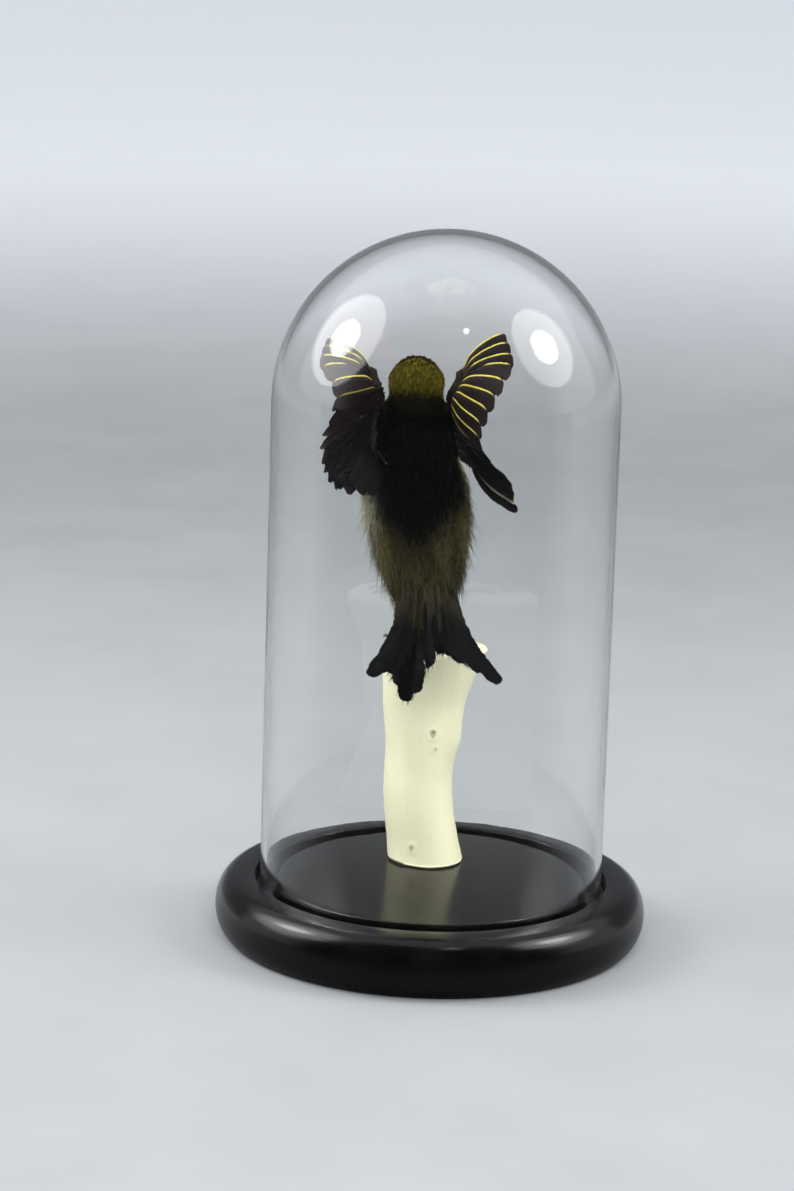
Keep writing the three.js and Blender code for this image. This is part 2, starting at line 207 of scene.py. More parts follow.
class Effect:
    """A shader node group that several finishes share."""

    made: dict[str, bpy.types.NodeTree] = {}

    @classmethod
    def group(cls, name: str, inputs: dict[str, float], build: Callable) -> bpy.types.NodeTree:
        """Makes a group once, and hands out the same one after that.

        Args:
            name: The group's name.
            inputs: Its number inputs with their starting values. It also gets a Vector input.
            build: Adds the group's nodes, and returns the socket for its Value output.

        Returns:
            The group.
        """
        if name in cls.made:
            return cls.made[name]
        tree = bpy.data.node_groups.new(name, "ShaderNodeTree")
        tree.interface.new_socket("Vector", in_out="INPUT", socket_type="NodeSocketVector")
        for label, start in inputs.items():
            socket = tree.interface.new_socket(label, in_out="INPUT", socket_type="NodeSocketFloat")
            socket.default_value = start
        tree.interface.new_socket("Value", in_out="OUTPUT", socket_type="NodeSocketFloat")
        nodes = Nodes(tree)
        entry = nodes.add("NodeGroupInput")
        result = build(nodes, entry.outputs)
        nodes.add("NodeGroupOutput", {"Value": result})
        cls.made[name] = tree
        return tree

    @classmethod
    def mottle(cls) -> bpy.types.NodeTree:
        """Soft uneven patches, from 0 to 1."""

        def build(nodes: Nodes, entry: Sequence) -> bpy.types.NodeSocket:
            """Noise, spread by the contrast."""
            inputs = {"Vector": entry["Vector"], "Scale": entry["Scale"], "Detail": 5.0}
            noise = nodes.add("ShaderNodeTexNoise", inputs)
            centred = nodes.maths("SUBTRACT", noise.outputs["Fac"], 0.5)
            spread = nodes.maths("MULTIPLY", centred, entry["Contrast"])
            return nodes.maths("ADD", spread, 0.5, use_clamp=True)

        return cls.group("mottle", {"Scale": 100.0, "Contrast": 2.0}, build)

    @classmethod
    def grain(cls) -> bpy.types.NodeTree:
        """Fine fibres that run along z, from 0 to 1."""

        def build(nodes: Nodes, entry: Sequence) -> bpy.types.NodeSocket:
            """Noise squeezed across the fibres and stretched along them."""
            squeezed = nodes.add("ShaderNodeCombineXYZ", {"X": 1.0, "Y": 1.0, "Z": entry["Length"]})
            along = nodes.vector("MULTIPLY", entry["Vector"], squeezed.outputs[0])
            inputs = {"Vector": along, "Scale": entry["Scale"], "Detail": 6.0, "Distortion": 0.4}
            noise = nodes.add("ShaderNodeTexNoise", inputs)
            return nodes.ramp(noise.outputs["Fac"], 0.32, 0.68)

        return cls.group("grain", {"Scale": 900.0, "Length": 0.06}, build)

    @classmethod
    def dust(cls) -> bpy.types.NodeTree:
        """Thin dust and specks on what faces up, from 0 to 1."""

        def build(nodes: Nodes, entry: Sequence) -> bpy.types.NodeSocket:
            """Specks and a film, by how far the surface faces up."""
            normal = nodes.parts(nodes.add("ShaderNodeNewGeometry").outputs["Normal"])
            upward = nodes.ramp(normal["Z"], 0.2, 0.95)
            specks = nodes.add("ShaderNodeTexVoronoi", {"Vector": entry["Vector"], "Scale": entry["Scale"]})
            dots = nodes.ramp(specks.outputs["Distance"], 0.09, 0.03)
            return nodes.maths("MULTIPLY", nodes.maths("MULTIPLY", dots, upward), entry["Amount"])

        return cls.group("dust", {"Scale": 500.0, "Amount": 1.0}, build)

    @classmethod
    def barbs(cls) -> bpy.types.NodeTree:
        """The ridges of a vane's barbs, slanting from its shaft, from 0 to 1."""

        def build(nodes: Nodes, entry: Sequence) -> bpy.types.NodeSocket:
            """A sine along the vane, carried forward by the distance from the shaft."""
            place = nodes.parts(entry["Vector"])
            aside = nodes.maths("ABSOLUTE", place["X"])
            slanted = nodes.maths("SUBTRACT", place["Y"], nodes.maths("MULTIPLY", aside, entry["Slant"]))
            wave = nodes.maths("SINE", nodes.maths("MULTIPLY", slanted, entry["Count"]))
            return nodes.maths("MULTIPLY_ADD", wave, 0.5)

        return cls.group("barbs", {"Count": 300.0, "Slant": 0.12}, build)


@dataclass(frozen=True)
class Finish:
    """What every finish has: a name, and a material built from its own nodes."""

    name: str
    known: ClassVar[dict[str, bpy.types.Material]] = {}

    def material(self) -> bpy.types.Material:
        """The material, made once and then shared."""
        if self.name in self.known:
            return self.known[self.name]
        made = bpy.data.materials.new(self.name)
        self.known[self.name] = made
        made.use_nodes = True
        nodes = Nodes(made.node_tree)
        shader = nodes.add("ShaderNodeBsdfPrincipled")
        surface = self.dress(nodes, shader) or shader.outputs[0]
        nodes.add("ShaderNodeOutputMaterial", {"Surface": surface})
        return made

    def dress(self, nodes: Nodes, shader: bpy.types.Node) -> bpy.types.NodeSocket | None:
        """Sets the shader's inputs. Returns another surface to use in its place, or nothing."""
        raise NotImplementedError

    @staticmethod
    def place(nodes: Nodes) -> bpy.types.NodeSocket:
        """The piece's own coordinates, in metres."""
        return nodes.add("ShaderNodeTexCoord").outputs["Object"]

    @staticmethod
    def effect(
        nodes: Nodes, group: bpy.types.NodeTree, vector: object, **values: float
    ) -> bpy.types.NodeSocket:
        """Places a shared effect with its own values and returns what it puts out."""
        node = nodes.add("ShaderNodeGroup", node_tree=group)
        nodes.tree.links.new(vector, node.inputs["Vector"])
        for label, value in values.items():
            node.inputs[label].default_value = value
        return node.outputs["Value"]

    @staticmethod
    def bump(
        nodes: Nodes, shader: bpy.types.Node, height: object, depth: float, strength: float = 1.0
    ) -> None:
        """Gives the shader a bump of that depth in metres."""
        node = nodes.add("ShaderNodeBump", {"Height": height, "Distance": depth, "Strength": strength})
        nodes.tree.links.new(node.outputs[0], shader.inputs["Normal"])


@dataclass(frozen=True)
class PlumageFinish(Finish):
    """Feathers: each vertex holds its colour, and the barbs follow the vane's own map."""

    roughness: float = 0.6
    gloss: float = 0.06
    barb_count: float = 220.0
    barb_depth: float = 0.00006
    streak: float = 0.35

    def dress(self, nodes: Nodes, shader: bpy.types.Node) -> None:
        """Colours the barbs unevenly and raises them."""
        colour = nodes.add("ShaderNodeAttribute", attribute_name="plumage").outputs["Color"]
        vane = nodes.add("ShaderNodeUVMap", uv_map="Vane").outputs["UV"]
        barbs = self.effect(nodes, Effect.barbs(), vane, Count=self.barb_count, Slant=0.14)
        patches = self.effect(nodes, Effect.mottle(), self.place(nodes), Scale=700.0, Contrast=2.4)
        shade = nodes.maths("MULTIPLY_ADD", patches, 0.7, 0.65)
        dark = nodes.mix(nodes.maths("MULTIPLY", barbs, self.streak), colour, (0.0, 0.0, 0.0))
        nodes.tree.links.new(nodes.vector("MULTIPLY", dark, shade), shader.inputs["Base Color"])
        shader.inputs["Roughness"].default_value = self.roughness
        shader.inputs["Specular IOR Level"].default_value = self.gloss
        self.bump(nodes, shader, barbs, self.barb_depth)


@dataclass(frozen=True)
class SkinFinish(Finish):
    """The skin under the coat, in the coat's own markings, with the pits that quills leave."""

    def dress(self, nodes: Nodes, shader: bpy.types.Node) -> None:
        """Pitted skin, a little darker than the feathers over it."""
        colour = nodes.add("ShaderNodeAttribute", attribute_name="plumage").outputs["Color"]
        pits = nodes.add("ShaderNodeTexVoronoi", {"Vector": self.place(nodes), "Scale": 700.0})
        rim = nodes.ramp(pits.outputs["Distance"], 0.1, 0.5)
        nodes.tree.links.new(nodes.mix(rim, colour, (0.01, 0.009, 0.007)), shader.inputs["Base Color"])
        shader.inputs["Roughness"].default_value = 0.8
        self.bump(nodes, shader, rim, 0.0002)


@dataclass(frozen=True)
class PeeledWoodFinish(Finish):
    """A peeled branch: pale wood with long fibres, stains and dark knots."""

    pale: Rgb = (0.90, 0.87, 0.60)
    warm: Rgb = (0.78, 0.70, 0.42)
    knot: Rgb = (0.20, 0.13, 0.05)
    knots_mm: tuple[tuple[float, float, float, float], ...] = (
        (-0.7, 6.4, 70.8, 1.5), (0.5, 6.2, 65.0, 1.0), (-7.1, 8.4, 27.8, 1.4), (9.5, 26.0, 58.0, 2.0),
    )

    def dress(self, nodes: Nodes, shader: bpy.types.Node) -> None:
        """Fibres, stains and knots."""
        place = self.place(nodes)
        fibres = self.effect(nodes, Effect.grain(), place, Scale=1100.0, Length=0.05)
        stains = self.effect(nodes, Effect.mottle(), place, Scale=70.0, Contrast=3.0)
        colour = nodes.mix(nodes.maths("MULTIPLY", fibres, 0.12), self.pale, self.warm)
        colour = nodes.mix(nodes.maths("MULTIPLY", stains, 0.2), colour, self.warm)
        marks = None
        for x, y, z, radius in self.knots_mm:
            centre = nodes.vector("SUBTRACT", place, tuple(mm(x, y, z)))
            reach = nodes.vector("LENGTH", nodes.vector("MULTIPLY", centre, (1.0, 0.6, 0.7)))
            spot = nodes.ramp(reach, radius * MM, 0.35 * radius * MM)
            marks = spot if marks is None else nodes.maths("MAXIMUM", marks, spot)
        uneven = nodes.maths("MULTIPLY", marks, nodes.maths("MULTIPLY_ADD", fibres, 0.5))
        colour = nodes.mix(uneven, colour, self.knot)
        nodes.tree.links.new(colour, shader.inputs["Base Color"])
        shader.inputs["Roughness"].default_value = 0.62
        relief = nodes.maths("SUBTRACT", fibres, marks)
        self.bump(nodes, shader, relief, 0.00005)


@dataclass(frozen=True)
class EbonisedFinish(Finish):
    """Black paint on turned wood: satin, with the lathe's fine rings showing through."""

    black: Rgb = (0.0012, 0.001, 0.0011)
    worn: Rgb = (0.0035, 0.0025, 0.0025)

    def dress(self, nodes: Nodes, shader: bpy.types.Node) -> None:
        """Rings, uneven gloss and a little dust."""
        place = self.place(nodes)
        radius = nodes.vector("LENGTH", nodes.vector("MULTIPLY", place, (1.0, 1.0, 0.0)))
        rings = nodes.maths("SINE", nodes.maths("MULTIPLY", radius, 9000.0))
        patches = self.effect(nodes, Effect.mottle(), place, Scale=90.0, Contrast=2.2)
        dust = self.effect(nodes, Effect.dust(), place, Scale=260.0, Amount=0.10)
        colour = nodes.mix(dust, nodes.mix(patches, self.black, self.worn), (0.12, 0.12, 0.115))
        nodes.tree.links.new(colour, shader.inputs["Base Color"])
        roughness = nodes.maths("MULTIPLY_ADD", patches, 0.06, 0.16)
        nodes.tree.links.new(roughness, shader.inputs["Roughness"])
        self.bump(nodes, shader, rings, 0.000004)


@dataclass(frozen=True)
class GlassFinish(Finish):
    """Clear blown glass. Light from the lamps passes it straight, as through a thin wall."""

    def dress(self, nodes: Nodes, shader: bpy.types.Node) -> bpy.types.NodeSocket:
        """Glass to the eye, and open to the lamps' rays."""
        shader.inputs["Base Color"].default_value = (0.985, 0.992, 0.99, 1)
        shader.inputs["Roughness"].default_value = 0.0
        shader.inputs["IOR"].default_value = 1.47
        shader.inputs["Transmission Weight"].default_value = 1.0
        ripples = self.effect(nodes, Effect.mottle(), self.place(nodes), Scale=28.0, Contrast=1.4)
        self.bump(nodes, shader, ripples, 0.0002, 0.35)
        path = nodes.add("ShaderNodeLightPath")
        loose = nodes.maths("MAXIMUM", path.outputs["Is Shadow Ray"], path.outputs["Is Diffuse Ray"])
        clear = nodes.add("ShaderNodeBsdfTransparent", {"Color": (0.97, 0.98, 0.98, 1)})
        both = nodes.add("ShaderNodeMixShader", {0: loose, 1: shader.outputs[0], 2: clear.outputs[0]})
        return both.outputs[0]


@dataclass(frozen=True)
class HornFinish(Finish):
    """Waxy horn, dark at the root and clear towards the tip."""

    root: Rgb
    tip: Rgb
    from_mm: float
    to_mm: float
    roughness: float = 0.3

    def dress(self, nodes: Nodes, shader: bpy.types.Node) -> None:
        """Colour along +Y, with fine growth lines."""
        place = self.place(nodes)
        share = nodes.ramp(nodes.parts(place)["Y"], self.from_mm * MM, self.to_mm * MM)
        patches = self.effect(nodes, Effect.mottle(), place, Scale=500.0, Contrast=1.6)
        colour = nodes.mix(share, self.root, self.tip)
        colour = nodes.mix(nodes.maths("MULTIPLY", patches, 0.3), colour, self.root)
        nodes.tree.links.new(colour, shader.inputs["Base Color"])
        shader.inputs["Roughness"].default_value = self.roughness
        shader.inputs["Coat Weight"].default_value = 0.25
        self.bump(nodes, shader, patches, 0.00005)


@dataclass(frozen=True)
class ScuteFinish(Finish):
    """The dry scaled skin of legs and toes."""

    pale: Rgb = (0.36, 0.23, 0.11)
    dark: Rgb = (0.14, 0.08, 0.04)

    def dress(self, nodes: Nodes, shader: bpy.types.Node) -> None:
        """Small plates with darker seams."""
        place = self.place(nodes)
        inputs = {"Vector": place, "Scale": 1500.0}
        cells = nodes.add("ShaderNodeTexVoronoi", inputs, feature="DISTANCE_TO_EDGE")
        plates = nodes.ramp(cells.outputs["Distance"], 0.02, 0.2)
        nodes.tree.links.new(nodes.mix(plates, self.dark, self.pale), shader.inputs["Base Color"])
        shader.inputs["Roughness"].default_value = 0.5
        self.bump(nodes, shader, plates, 0.00005)


@dataclass(frozen=True)
class EyeFinish(Finish):
    """A taxidermist's glass eye: a dark brown iris round a black pupil, clear on top."""

    centre_mm: tuple[float, float, float]
    outward: float

    def dress(self, nodes: Nodes, shader: bpy.types.Node) -> None:
        """The iris, by the angle from the eye's own axis."""
        centre = nodes.vector("SUBTRACT", self.place(nodes), tuple(mm(*self.centre_mm)))
        axis = tuple(unit(np.array((0.93 * self.outward, 0.36, 0.05))))
        facing = nodes.vector("DOT_PRODUCT", nodes.vector("NORMALIZE", centre), axis)
        iris = nodes.ramp(facing, 0.86, 0.9)
        limbus = nodes.ramp(facing, 0.55, 0.62)
        colour = nodes.mix(limbus, (0.01, 0.006, 0.004), (0.10, 0.03, 0.012))
        nodes.tree.links.new(nodes.mix(iris, colour, (0.002, 0.002, 0.002)), shader.inputs["Base Color"])
        shader.inputs["Roughness"].default_value = 0.04
        shader.inputs["Coat Weight"].default_value = 1.0
        shader.inputs["Coat Roughness"].default_value = 0.02


@dataclass(frozen=True)
class StudioPaperFinish(Finish):
    """The plain pale sheet that the object stands on."""

    shade: Rgb = (0.33, 0.342, 0.352)
    middle_shade: Rgb = (0.28, 0.29, 0.297)
    far_shade: Rgb = (0.86, 0.875, 0.90)

    def dress(self, nodes: Nodes, shader: bpy.types.Node) -> None:
        """Faint soft patches, painted shade that darkens the sheet at middle distance, and painted light that
        makes it much paler far away. Its front is painted dark to mirrored rays, a painted dark reflection,
        which keeps the glass clear.
        """
        place = self.place(nodes)
        patches = self.effect(nodes, Effect.mottle(), place, Scale=14.0, Contrast=1.5)
        away = nodes.vector("LENGTH", place)
        # painted shade: darker at middle distance; painted light: much paler far off, where the lamps reach
        # less
        near = nodes.mix(nodes.ramp(away, 0.25, 0.75), self.shade, self.middle_shade)
        sheet = nodes.mix(nodes.ramp(away, 0.75, 1.9), near, self.far_shade)
        paper = nodes.mix(nodes.maths("MULTIPLY", patches, 0.1), sheet, (0.8, 0.8, 0.8))
        mirrored_ray = nodes.maths("MINIMUM", nodes.add("ShaderNodeLightPath").outputs["Glossy Depth"], 1.0)
        front = nodes.ramp(nodes.parts(place)["Y"], 0.08, -0.14)
        hidden = nodes.maths("MULTIPLY", mirrored_ray, nodes.maths("MULTIPLY", front, 0.95))
        seen = nodes.mix(hidden, paper, (0.0, 0.0, 0.0))
        nodes.tree.links.new(seen, shader.inputs["Base Color"])
        shader.inputs["Roughness"].default_value = 0.9


# ---------------------------------------------------------------- making pieces


def finished(
    obj: bpy.types.Object, finish: Finish, body: str, replaces: Sequence[str] = ()
) -> None:
    """Gives a piece its finish and says what it belongs to.

    Args:
        obj: The piece.
        finish: Its finish.
        body: The CAD body that it moves with.
        replaces: CAD nodes that it stands for.
    """
    obj.data.materials.clear()
    obj.data.materials.append(finish.material())
    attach(obj, body)
    if replaces:
        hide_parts(*replaces)
    log.info("%s: %d faces", obj.name, len(obj.data.polygons))


def as_object(name: str, mesh: bpy.types.Mesh) -> bpy.types.Object:
    """Puts a mesh into the scene under a name."""
    obj = bpy.data.objects.new(name, mesh)
    bpy.context.scene.collection.objects.link(obj)
    return obj


def object_of(bm: bmesh.types.BMesh, name: str, outward: bool = True) -> bpy.types.Object:
    """Turns a bmesh into a smooth-shaded object.

    Args:
        bm: The bmesh, which is freed.
        name: The object's name.
        outward: Whether to merge doubles and turn the faces outwards first.

    Returns:
        The object.
    """
    if outward:
        bmesh.ops.remove_doubles(bm, verts=bm.verts, dist=1e-7)
        bmesh.ops.recalc_face_normals(bm, faces=bm.faces)
    for face in bm.faces:
        face.smooth = True
    mesh = bpy.data.meshes.new(name)
    bm.to_mesh(mesh)
    bm.free()
    return as_object(name, mesh)


def ball(rings: int, sectors: int) -> bmesh.types.BMesh:
    """A unit sphere with its poles on z."""
    bm = bmesh.new()
    bmesh.ops.create_uvsphere(bm, u_segments=sectors, v_segments=rings, radius=1)
    return bm


def slab(columns: int, rows: int) -> bmesh.types.BMesh:
    """A closed slab: x from -1 to 1 across, y from 0 to 1 along, z from -1 to 1 through."""
    bm = bmesh.new()
    bmesh.ops.create_grid(bm, x_segments=columns, y_segments=rows, size=1)
    for vert in bm.verts:
        vert.co = Vector((vert.co.x, (vert.co.y + 1) / 2, -1))
    raised = bmesh.ops.extrude_face_region(bm, geom=bm.faces[:])["geom"]
    bmesh.ops.translate(bm, verts=[v for v in raised if isinstance(v, bmesh.types.BMVert)], vec=(0, 0, 2))
    bmesh.ops.recalc_face_normals(bm, faces=bm.faces)
    return bm


def reshape(bm: bmesh.types.BMesh, place: Place) -> bmesh.types.BMesh:
    """Carries every vertex to where place puts it."""
    for vert in bm.verts:
        vert.co = place(vert.co)
    return bm


def turned(name: str, profile: Sequence[tuple[float, float]], steps: int) -> bpy.types.Object:
    """A turned piece, spun from its profile.

    Args:
        name: The piece's name.
        profile: Radius and height of each point, in metres, from start to end on the axis or closed.
        steps: How many steps go round.

    Returns:
        The object.
    """
    bm = bmesh.new()
    verts = [bm.verts.new((radius, 0, height)) for radius, height in profile]
    edges = [bm.edges.new(pair) for pair in zip(verts, verts[1:])]
    if profile[0][0] > 0:
        edges.append(bm.edges.new((verts[-1], verts[0])))
    bmesh.ops.spin(
        bm, geom=verts + edges, cent=(0, 0, 0), axis=(0, 0, 1), angle=math.tau, steps=steps, use_merge=True
    )
    return object_of(bm, name)


def arc(
    centre: tuple[float, float], radius: float, start: float, end: float, steps: int
) -> list[tuple[float, float]]:
    """Points round part of a circle, from one angle to another in degrees."""
    angles = np.radians(np.linspace(start, end, steps + 1))
    return [(centre[0] + radius * math.cos(a), centre[1] + radius * math.sin(a)) for a in angles]


def pour(source: bmesh.types.BMesh, into: bmesh.types.BMesh) -> None:
    """Adds one bmesh to another, and frees the first."""
    mesh = bpy.data.meshes.new("poured")
    source.to_mesh(mesh)
    source.free()
    into.from_mesh(mesh)
    bpy.data.meshes.remove(mesh)


def vertex_array(mesh: bpy.types.Mesh, field_name: str) -> np.ndarray:
    """A vector field of a mesh's vertices, such as co or normal, as rows of three."""
    found = np.empty(3 * len(mesh.vertices))
    mesh.vertices.foreach_get(field_name, found)
    return found.reshape(-1, 3)


def paint(mesh: bpy.types.Mesh, colours: np.ndarray) -> None:
    """Gives each vertex its colour, as the attribute that the plumage reads."""
    layer = mesh.attributes.new("plumage", "FLOAT_COLOR", "POINT")
    opaque = np.c_[colours, np.ones(len(colours))]
    layer.data.foreach_set("color", opaque.astype(np.float32).ravel())


def evened(bm: bmesh.types.BMesh, rounds: int) -> None:
    """Smooths a surface that many times."""
    axes = {"use_axis_x": True, "use_axis_y": True, "use_axis_z": True}
    for _ in range(rounds):
        bmesh.ops.smooth_vert(bm, verts=bm.verts, factor=0.5, **axes)


def swollen_copy(bm: bmesh.types.BMesh, node: str, swell: float) -> None:
    """Adds a merged copy of a CAD node to a bmesh, swollen along its normals."""
    copy = bmesh.new()
    copy.from_mesh(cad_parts[node].data)
    bmesh.ops.remove_doubles(copy, verts=copy.verts, dist=1e-6)
    copy.normal_update()
    for vert in copy.verts:
        vert.co += vert.normal * swell
    pour(copy, bm)


def remeshed(name: str, nodes: Sequence[str], voxel: float, swell: float) -> bmesh.types.BMesh:
    """CAD nodes as one even, unbroken surface.

    Args:
        name: A name for the work.
        nodes: The CAD nodes.
        voxel: The size of the new faces.
        swell: How far each node is swollen first, to close the gaps between them.

    Returns:
        The surface as a bmesh.
    """
    bm = bmesh.new()
    for node in nodes:
        swollen_copy(bm, node, swell)
    mesh = bpy.data.meshes.new(name)
    bm.to_mesh(mesh)
    bm.free()
    obj = as_object(name, mesh)
    remesh = obj.modifiers.new("even", "REMESH")
    remesh.mode = "VOXEL"
    remesh.voxel_size = voxel
    even = bmesh.new()
    even.from_object(obj, bpy.context.evaluated_depsgraph_get())
    bpy.data.objects.remove(obj)
    bpy.data.meshes.remove(mesh)
    return even


@dataclass
class Template:
    """A small closed shape that is repeated many times, as arrays of its points and faces."""

    points: np.ndarray
    corners: np.ndarray
    starts: np.ndarray

    @classmethod
    def of(cls, bm: bmesh.types.BMesh) -> "Template":
        """Reads a bmesh into arrays and frees it."""
        bm.verts.index_update()
        points = np.array([v.co[:] for v in bm.verts])
        faces = [[v.index for v in f.verts] for f in bm.faces]
        bm.free()
        starts = np.cumsum([0] + [len(f) for f in faces[:-1]])
        return cls(points, np.concatenate([np.array(f) for f in faces]), starts)

    @classmethod
    def vane(cls, rings: int = 5, sectors: int = 6) -> "Template":
        """A small feather: lens-shaped across, pointed at both ends.

        Its points hold the place across and through from -1 to 1, and the share along from 0 to 1.
        """
        made = cls.of(ball(rings, sectors))
        x, y, z = made.points.T
        radius = np.sqrt(np.maximum(1 - z * z, 1e-9))
        open_ring = np.abs(z) < 0.999
        made.points = np.stack([x / radius * open_ring, (z + 1) / 2, y / radius * open_ring], 1)
        return made

    @classmethod
    def blade(cls, columns: int, rows: int) -> "Template":
        """A flight feather's vane, as a thin closed slab."""
        return cls.of(slab(columns, rows))

    @property
    def rings(self) -> np.ndarray:
        """The shares along the shape at which it has points."""
        return np.unique(self.points[:, 1].round(6))


@dataclass
class Coat:
    """Many small shapes gathered into one mesh, with their colours and maps."""

    template: Template
    points: list[np.ndarray] = field(default_factory=list)
    colours: list[np.ndarray] = field(default_factory=list)
    vanes: list[np.ndarray] = field(default_factory=list)
    maps: list[np.ndarray] = field(default_factory=list)

    def add(self, points: np.ndarray, colours: np.ndarray, vanes: np.ndarray, maps: np.ndarray) -> None:
        """Adds shapes, as arrays of (shape, template point, value)."""
        self.points.append(points)
        self.colours.append(colours)
        self.vanes.append(vanes)
        self.maps.append(maps)

    def add_feathers(self, spine: np.ndarray, normal: np.ndarray, half_width: np.ndarray, thickness: float,
                     colours: np.ndarray, homes: np.ndarray, silky: float) -> None:
        """Forms the template into feathers along their middle lines and adds them.

        Args:
            spine: The places along each feather, one for each ring of the template.
            normal: The outward direction at each place.
            half_width: Half of each feather's width.
            thickness: Half of its thickness.
            colours: Each feather's colour.
            homes: Each feather's place on the baking map.
            silky: How much darker the root is than the tip.
        """
        across_place, along_share, through = self.template.points.T
        ring = np.searchsorted(self.template.rings, along_share.round(6))
        across = unit(np.cross(np.gradient(spine, axis=1), normal))
        outline = np.sin(math.pi * np.clip(along_share, 0, 1) ** 0.72) ** 0.8
        width = half_width[:, None] * (across_place * outline)[None]
        bend = -0.25 * (across_place * outline) ** 2
        depth = (through * outline * thickness)[None] + half_width[:, None] * bend[None]
        points = spine[:, ring] + across[:, ring] * width[..., None] + normal[:, ring] * depth[..., None]
        shade = 1 - 0.35 * silky * (1 - along_share) + 0.12 * np.sin(9 * along_share)
        vane = np.broadcast_to(np.stack([across_place, along_share], 1), (len(spine), len(ring), 2))
        inset = np.where(through < 0, 0.8, 1.0)
        patch = np.stack([across_place * 0.5 * inset, (along_share - 0.5) * inset], 1) * PATCH
        self.add(points, colours[:, None, :] * shade[None, :, None], vane, homes[:, None, :] + patch[None])

    def mesh(self, name: str) -> bpy.types.Mesh:
        """Joins everything into one mesh.

        Args:
            name: The mesh's name.

        Returns:
            A mesh with the attribute plumage and the maps Vane and OFBake.
        """
        points = np.concatenate(self.points)
        count, each = points.shape[:2]
        corners = (self.template.corners[None] + each * np.arange(count)[:, None]).ravel()
        loops = len(self.template.corners)
        starts = (self.template.starts[None] + loops * np.arange(count)[:, None]).ravel()
        mesh = bpy.data.meshes.new(name)
        mesh.vertices.add(count * each)
        mesh.vertices.foreach_set("co", points.astype(np.float32).ravel())
        mesh.loops.add(len(corners))
        mesh.loops.foreach_set("vertex_index", corners.astype(np.int32))
        mesh.polygons.add(len(starts))
        mesh.polygons.foreach_set("loop_start", starts.astype(np.int32))
        mesh.update(calc_edges=True)
        mesh.shade_smooth()
        paint(mesh, np.concatenate(self.colours).reshape(-1, 3))
        for label, values in (("Vane", self.vanes), ("OFBake", self.maps)):
            layer = mesh.uv_layers.new(name=label)
            flat = np.concatenate(values).reshape(-1, 2)[corners]
            layer.data.foreach_set("uv", flat.astype(np.float32).ravel())
        mesh.uv_layers["OFBake"].active_render = True
        return mesh

    def piece(self, name: str, finish: Finish, slot: str, replaces: Sequence[str] = ()) -> None:
        """Puts everything into the scene as one piece of the bird.

        Args:
            name: The piece's name.
            finish: Its finish.
            slot: Not used.
            replaces: CAD nodes that it stands for.
        """
        finished(as_object(name, self.mesh(name)), finish, MOUNT_BODY, replaces)


# ---------------------------------------------------------------- the bird's plumage


class Region(Enum):
    """The tracts that the body's feathers are sorted into, each a piece of its own."""

    HEAD = "head_feathers"
    NECK = "neck_feathers"
    MANTLE = "mantle_feathers"
    BREAST = "breast_feathers"
    FLANK = "flank_feathers"
    RUMP = "rump_feathers"


@dataclass(frozen=True)
class Tract:
    """How the feathers of one region grow, in millimetres."""

    spacing: float
    length: float
    width: float
    lift: float


TRACTS = {
    Region.HEAD: Tract(0.95, 4.2, 1.9, 0.35),
    Region.NECK: Tract(1.15, 6.0, 2.4, 0.5),
    Region.MANTLE: Tract(1.35, 8.5, 3.0, 0.6),
    Region.BREAST: Tract(1.35, 8.0, 3.2, 0.7),
    Region.FLANK: Tract(1.45, 12.0, 2.8, 1.0),
    Region.RUMP: Tract(1.35, 14.0, 2.3, 1.0),
}


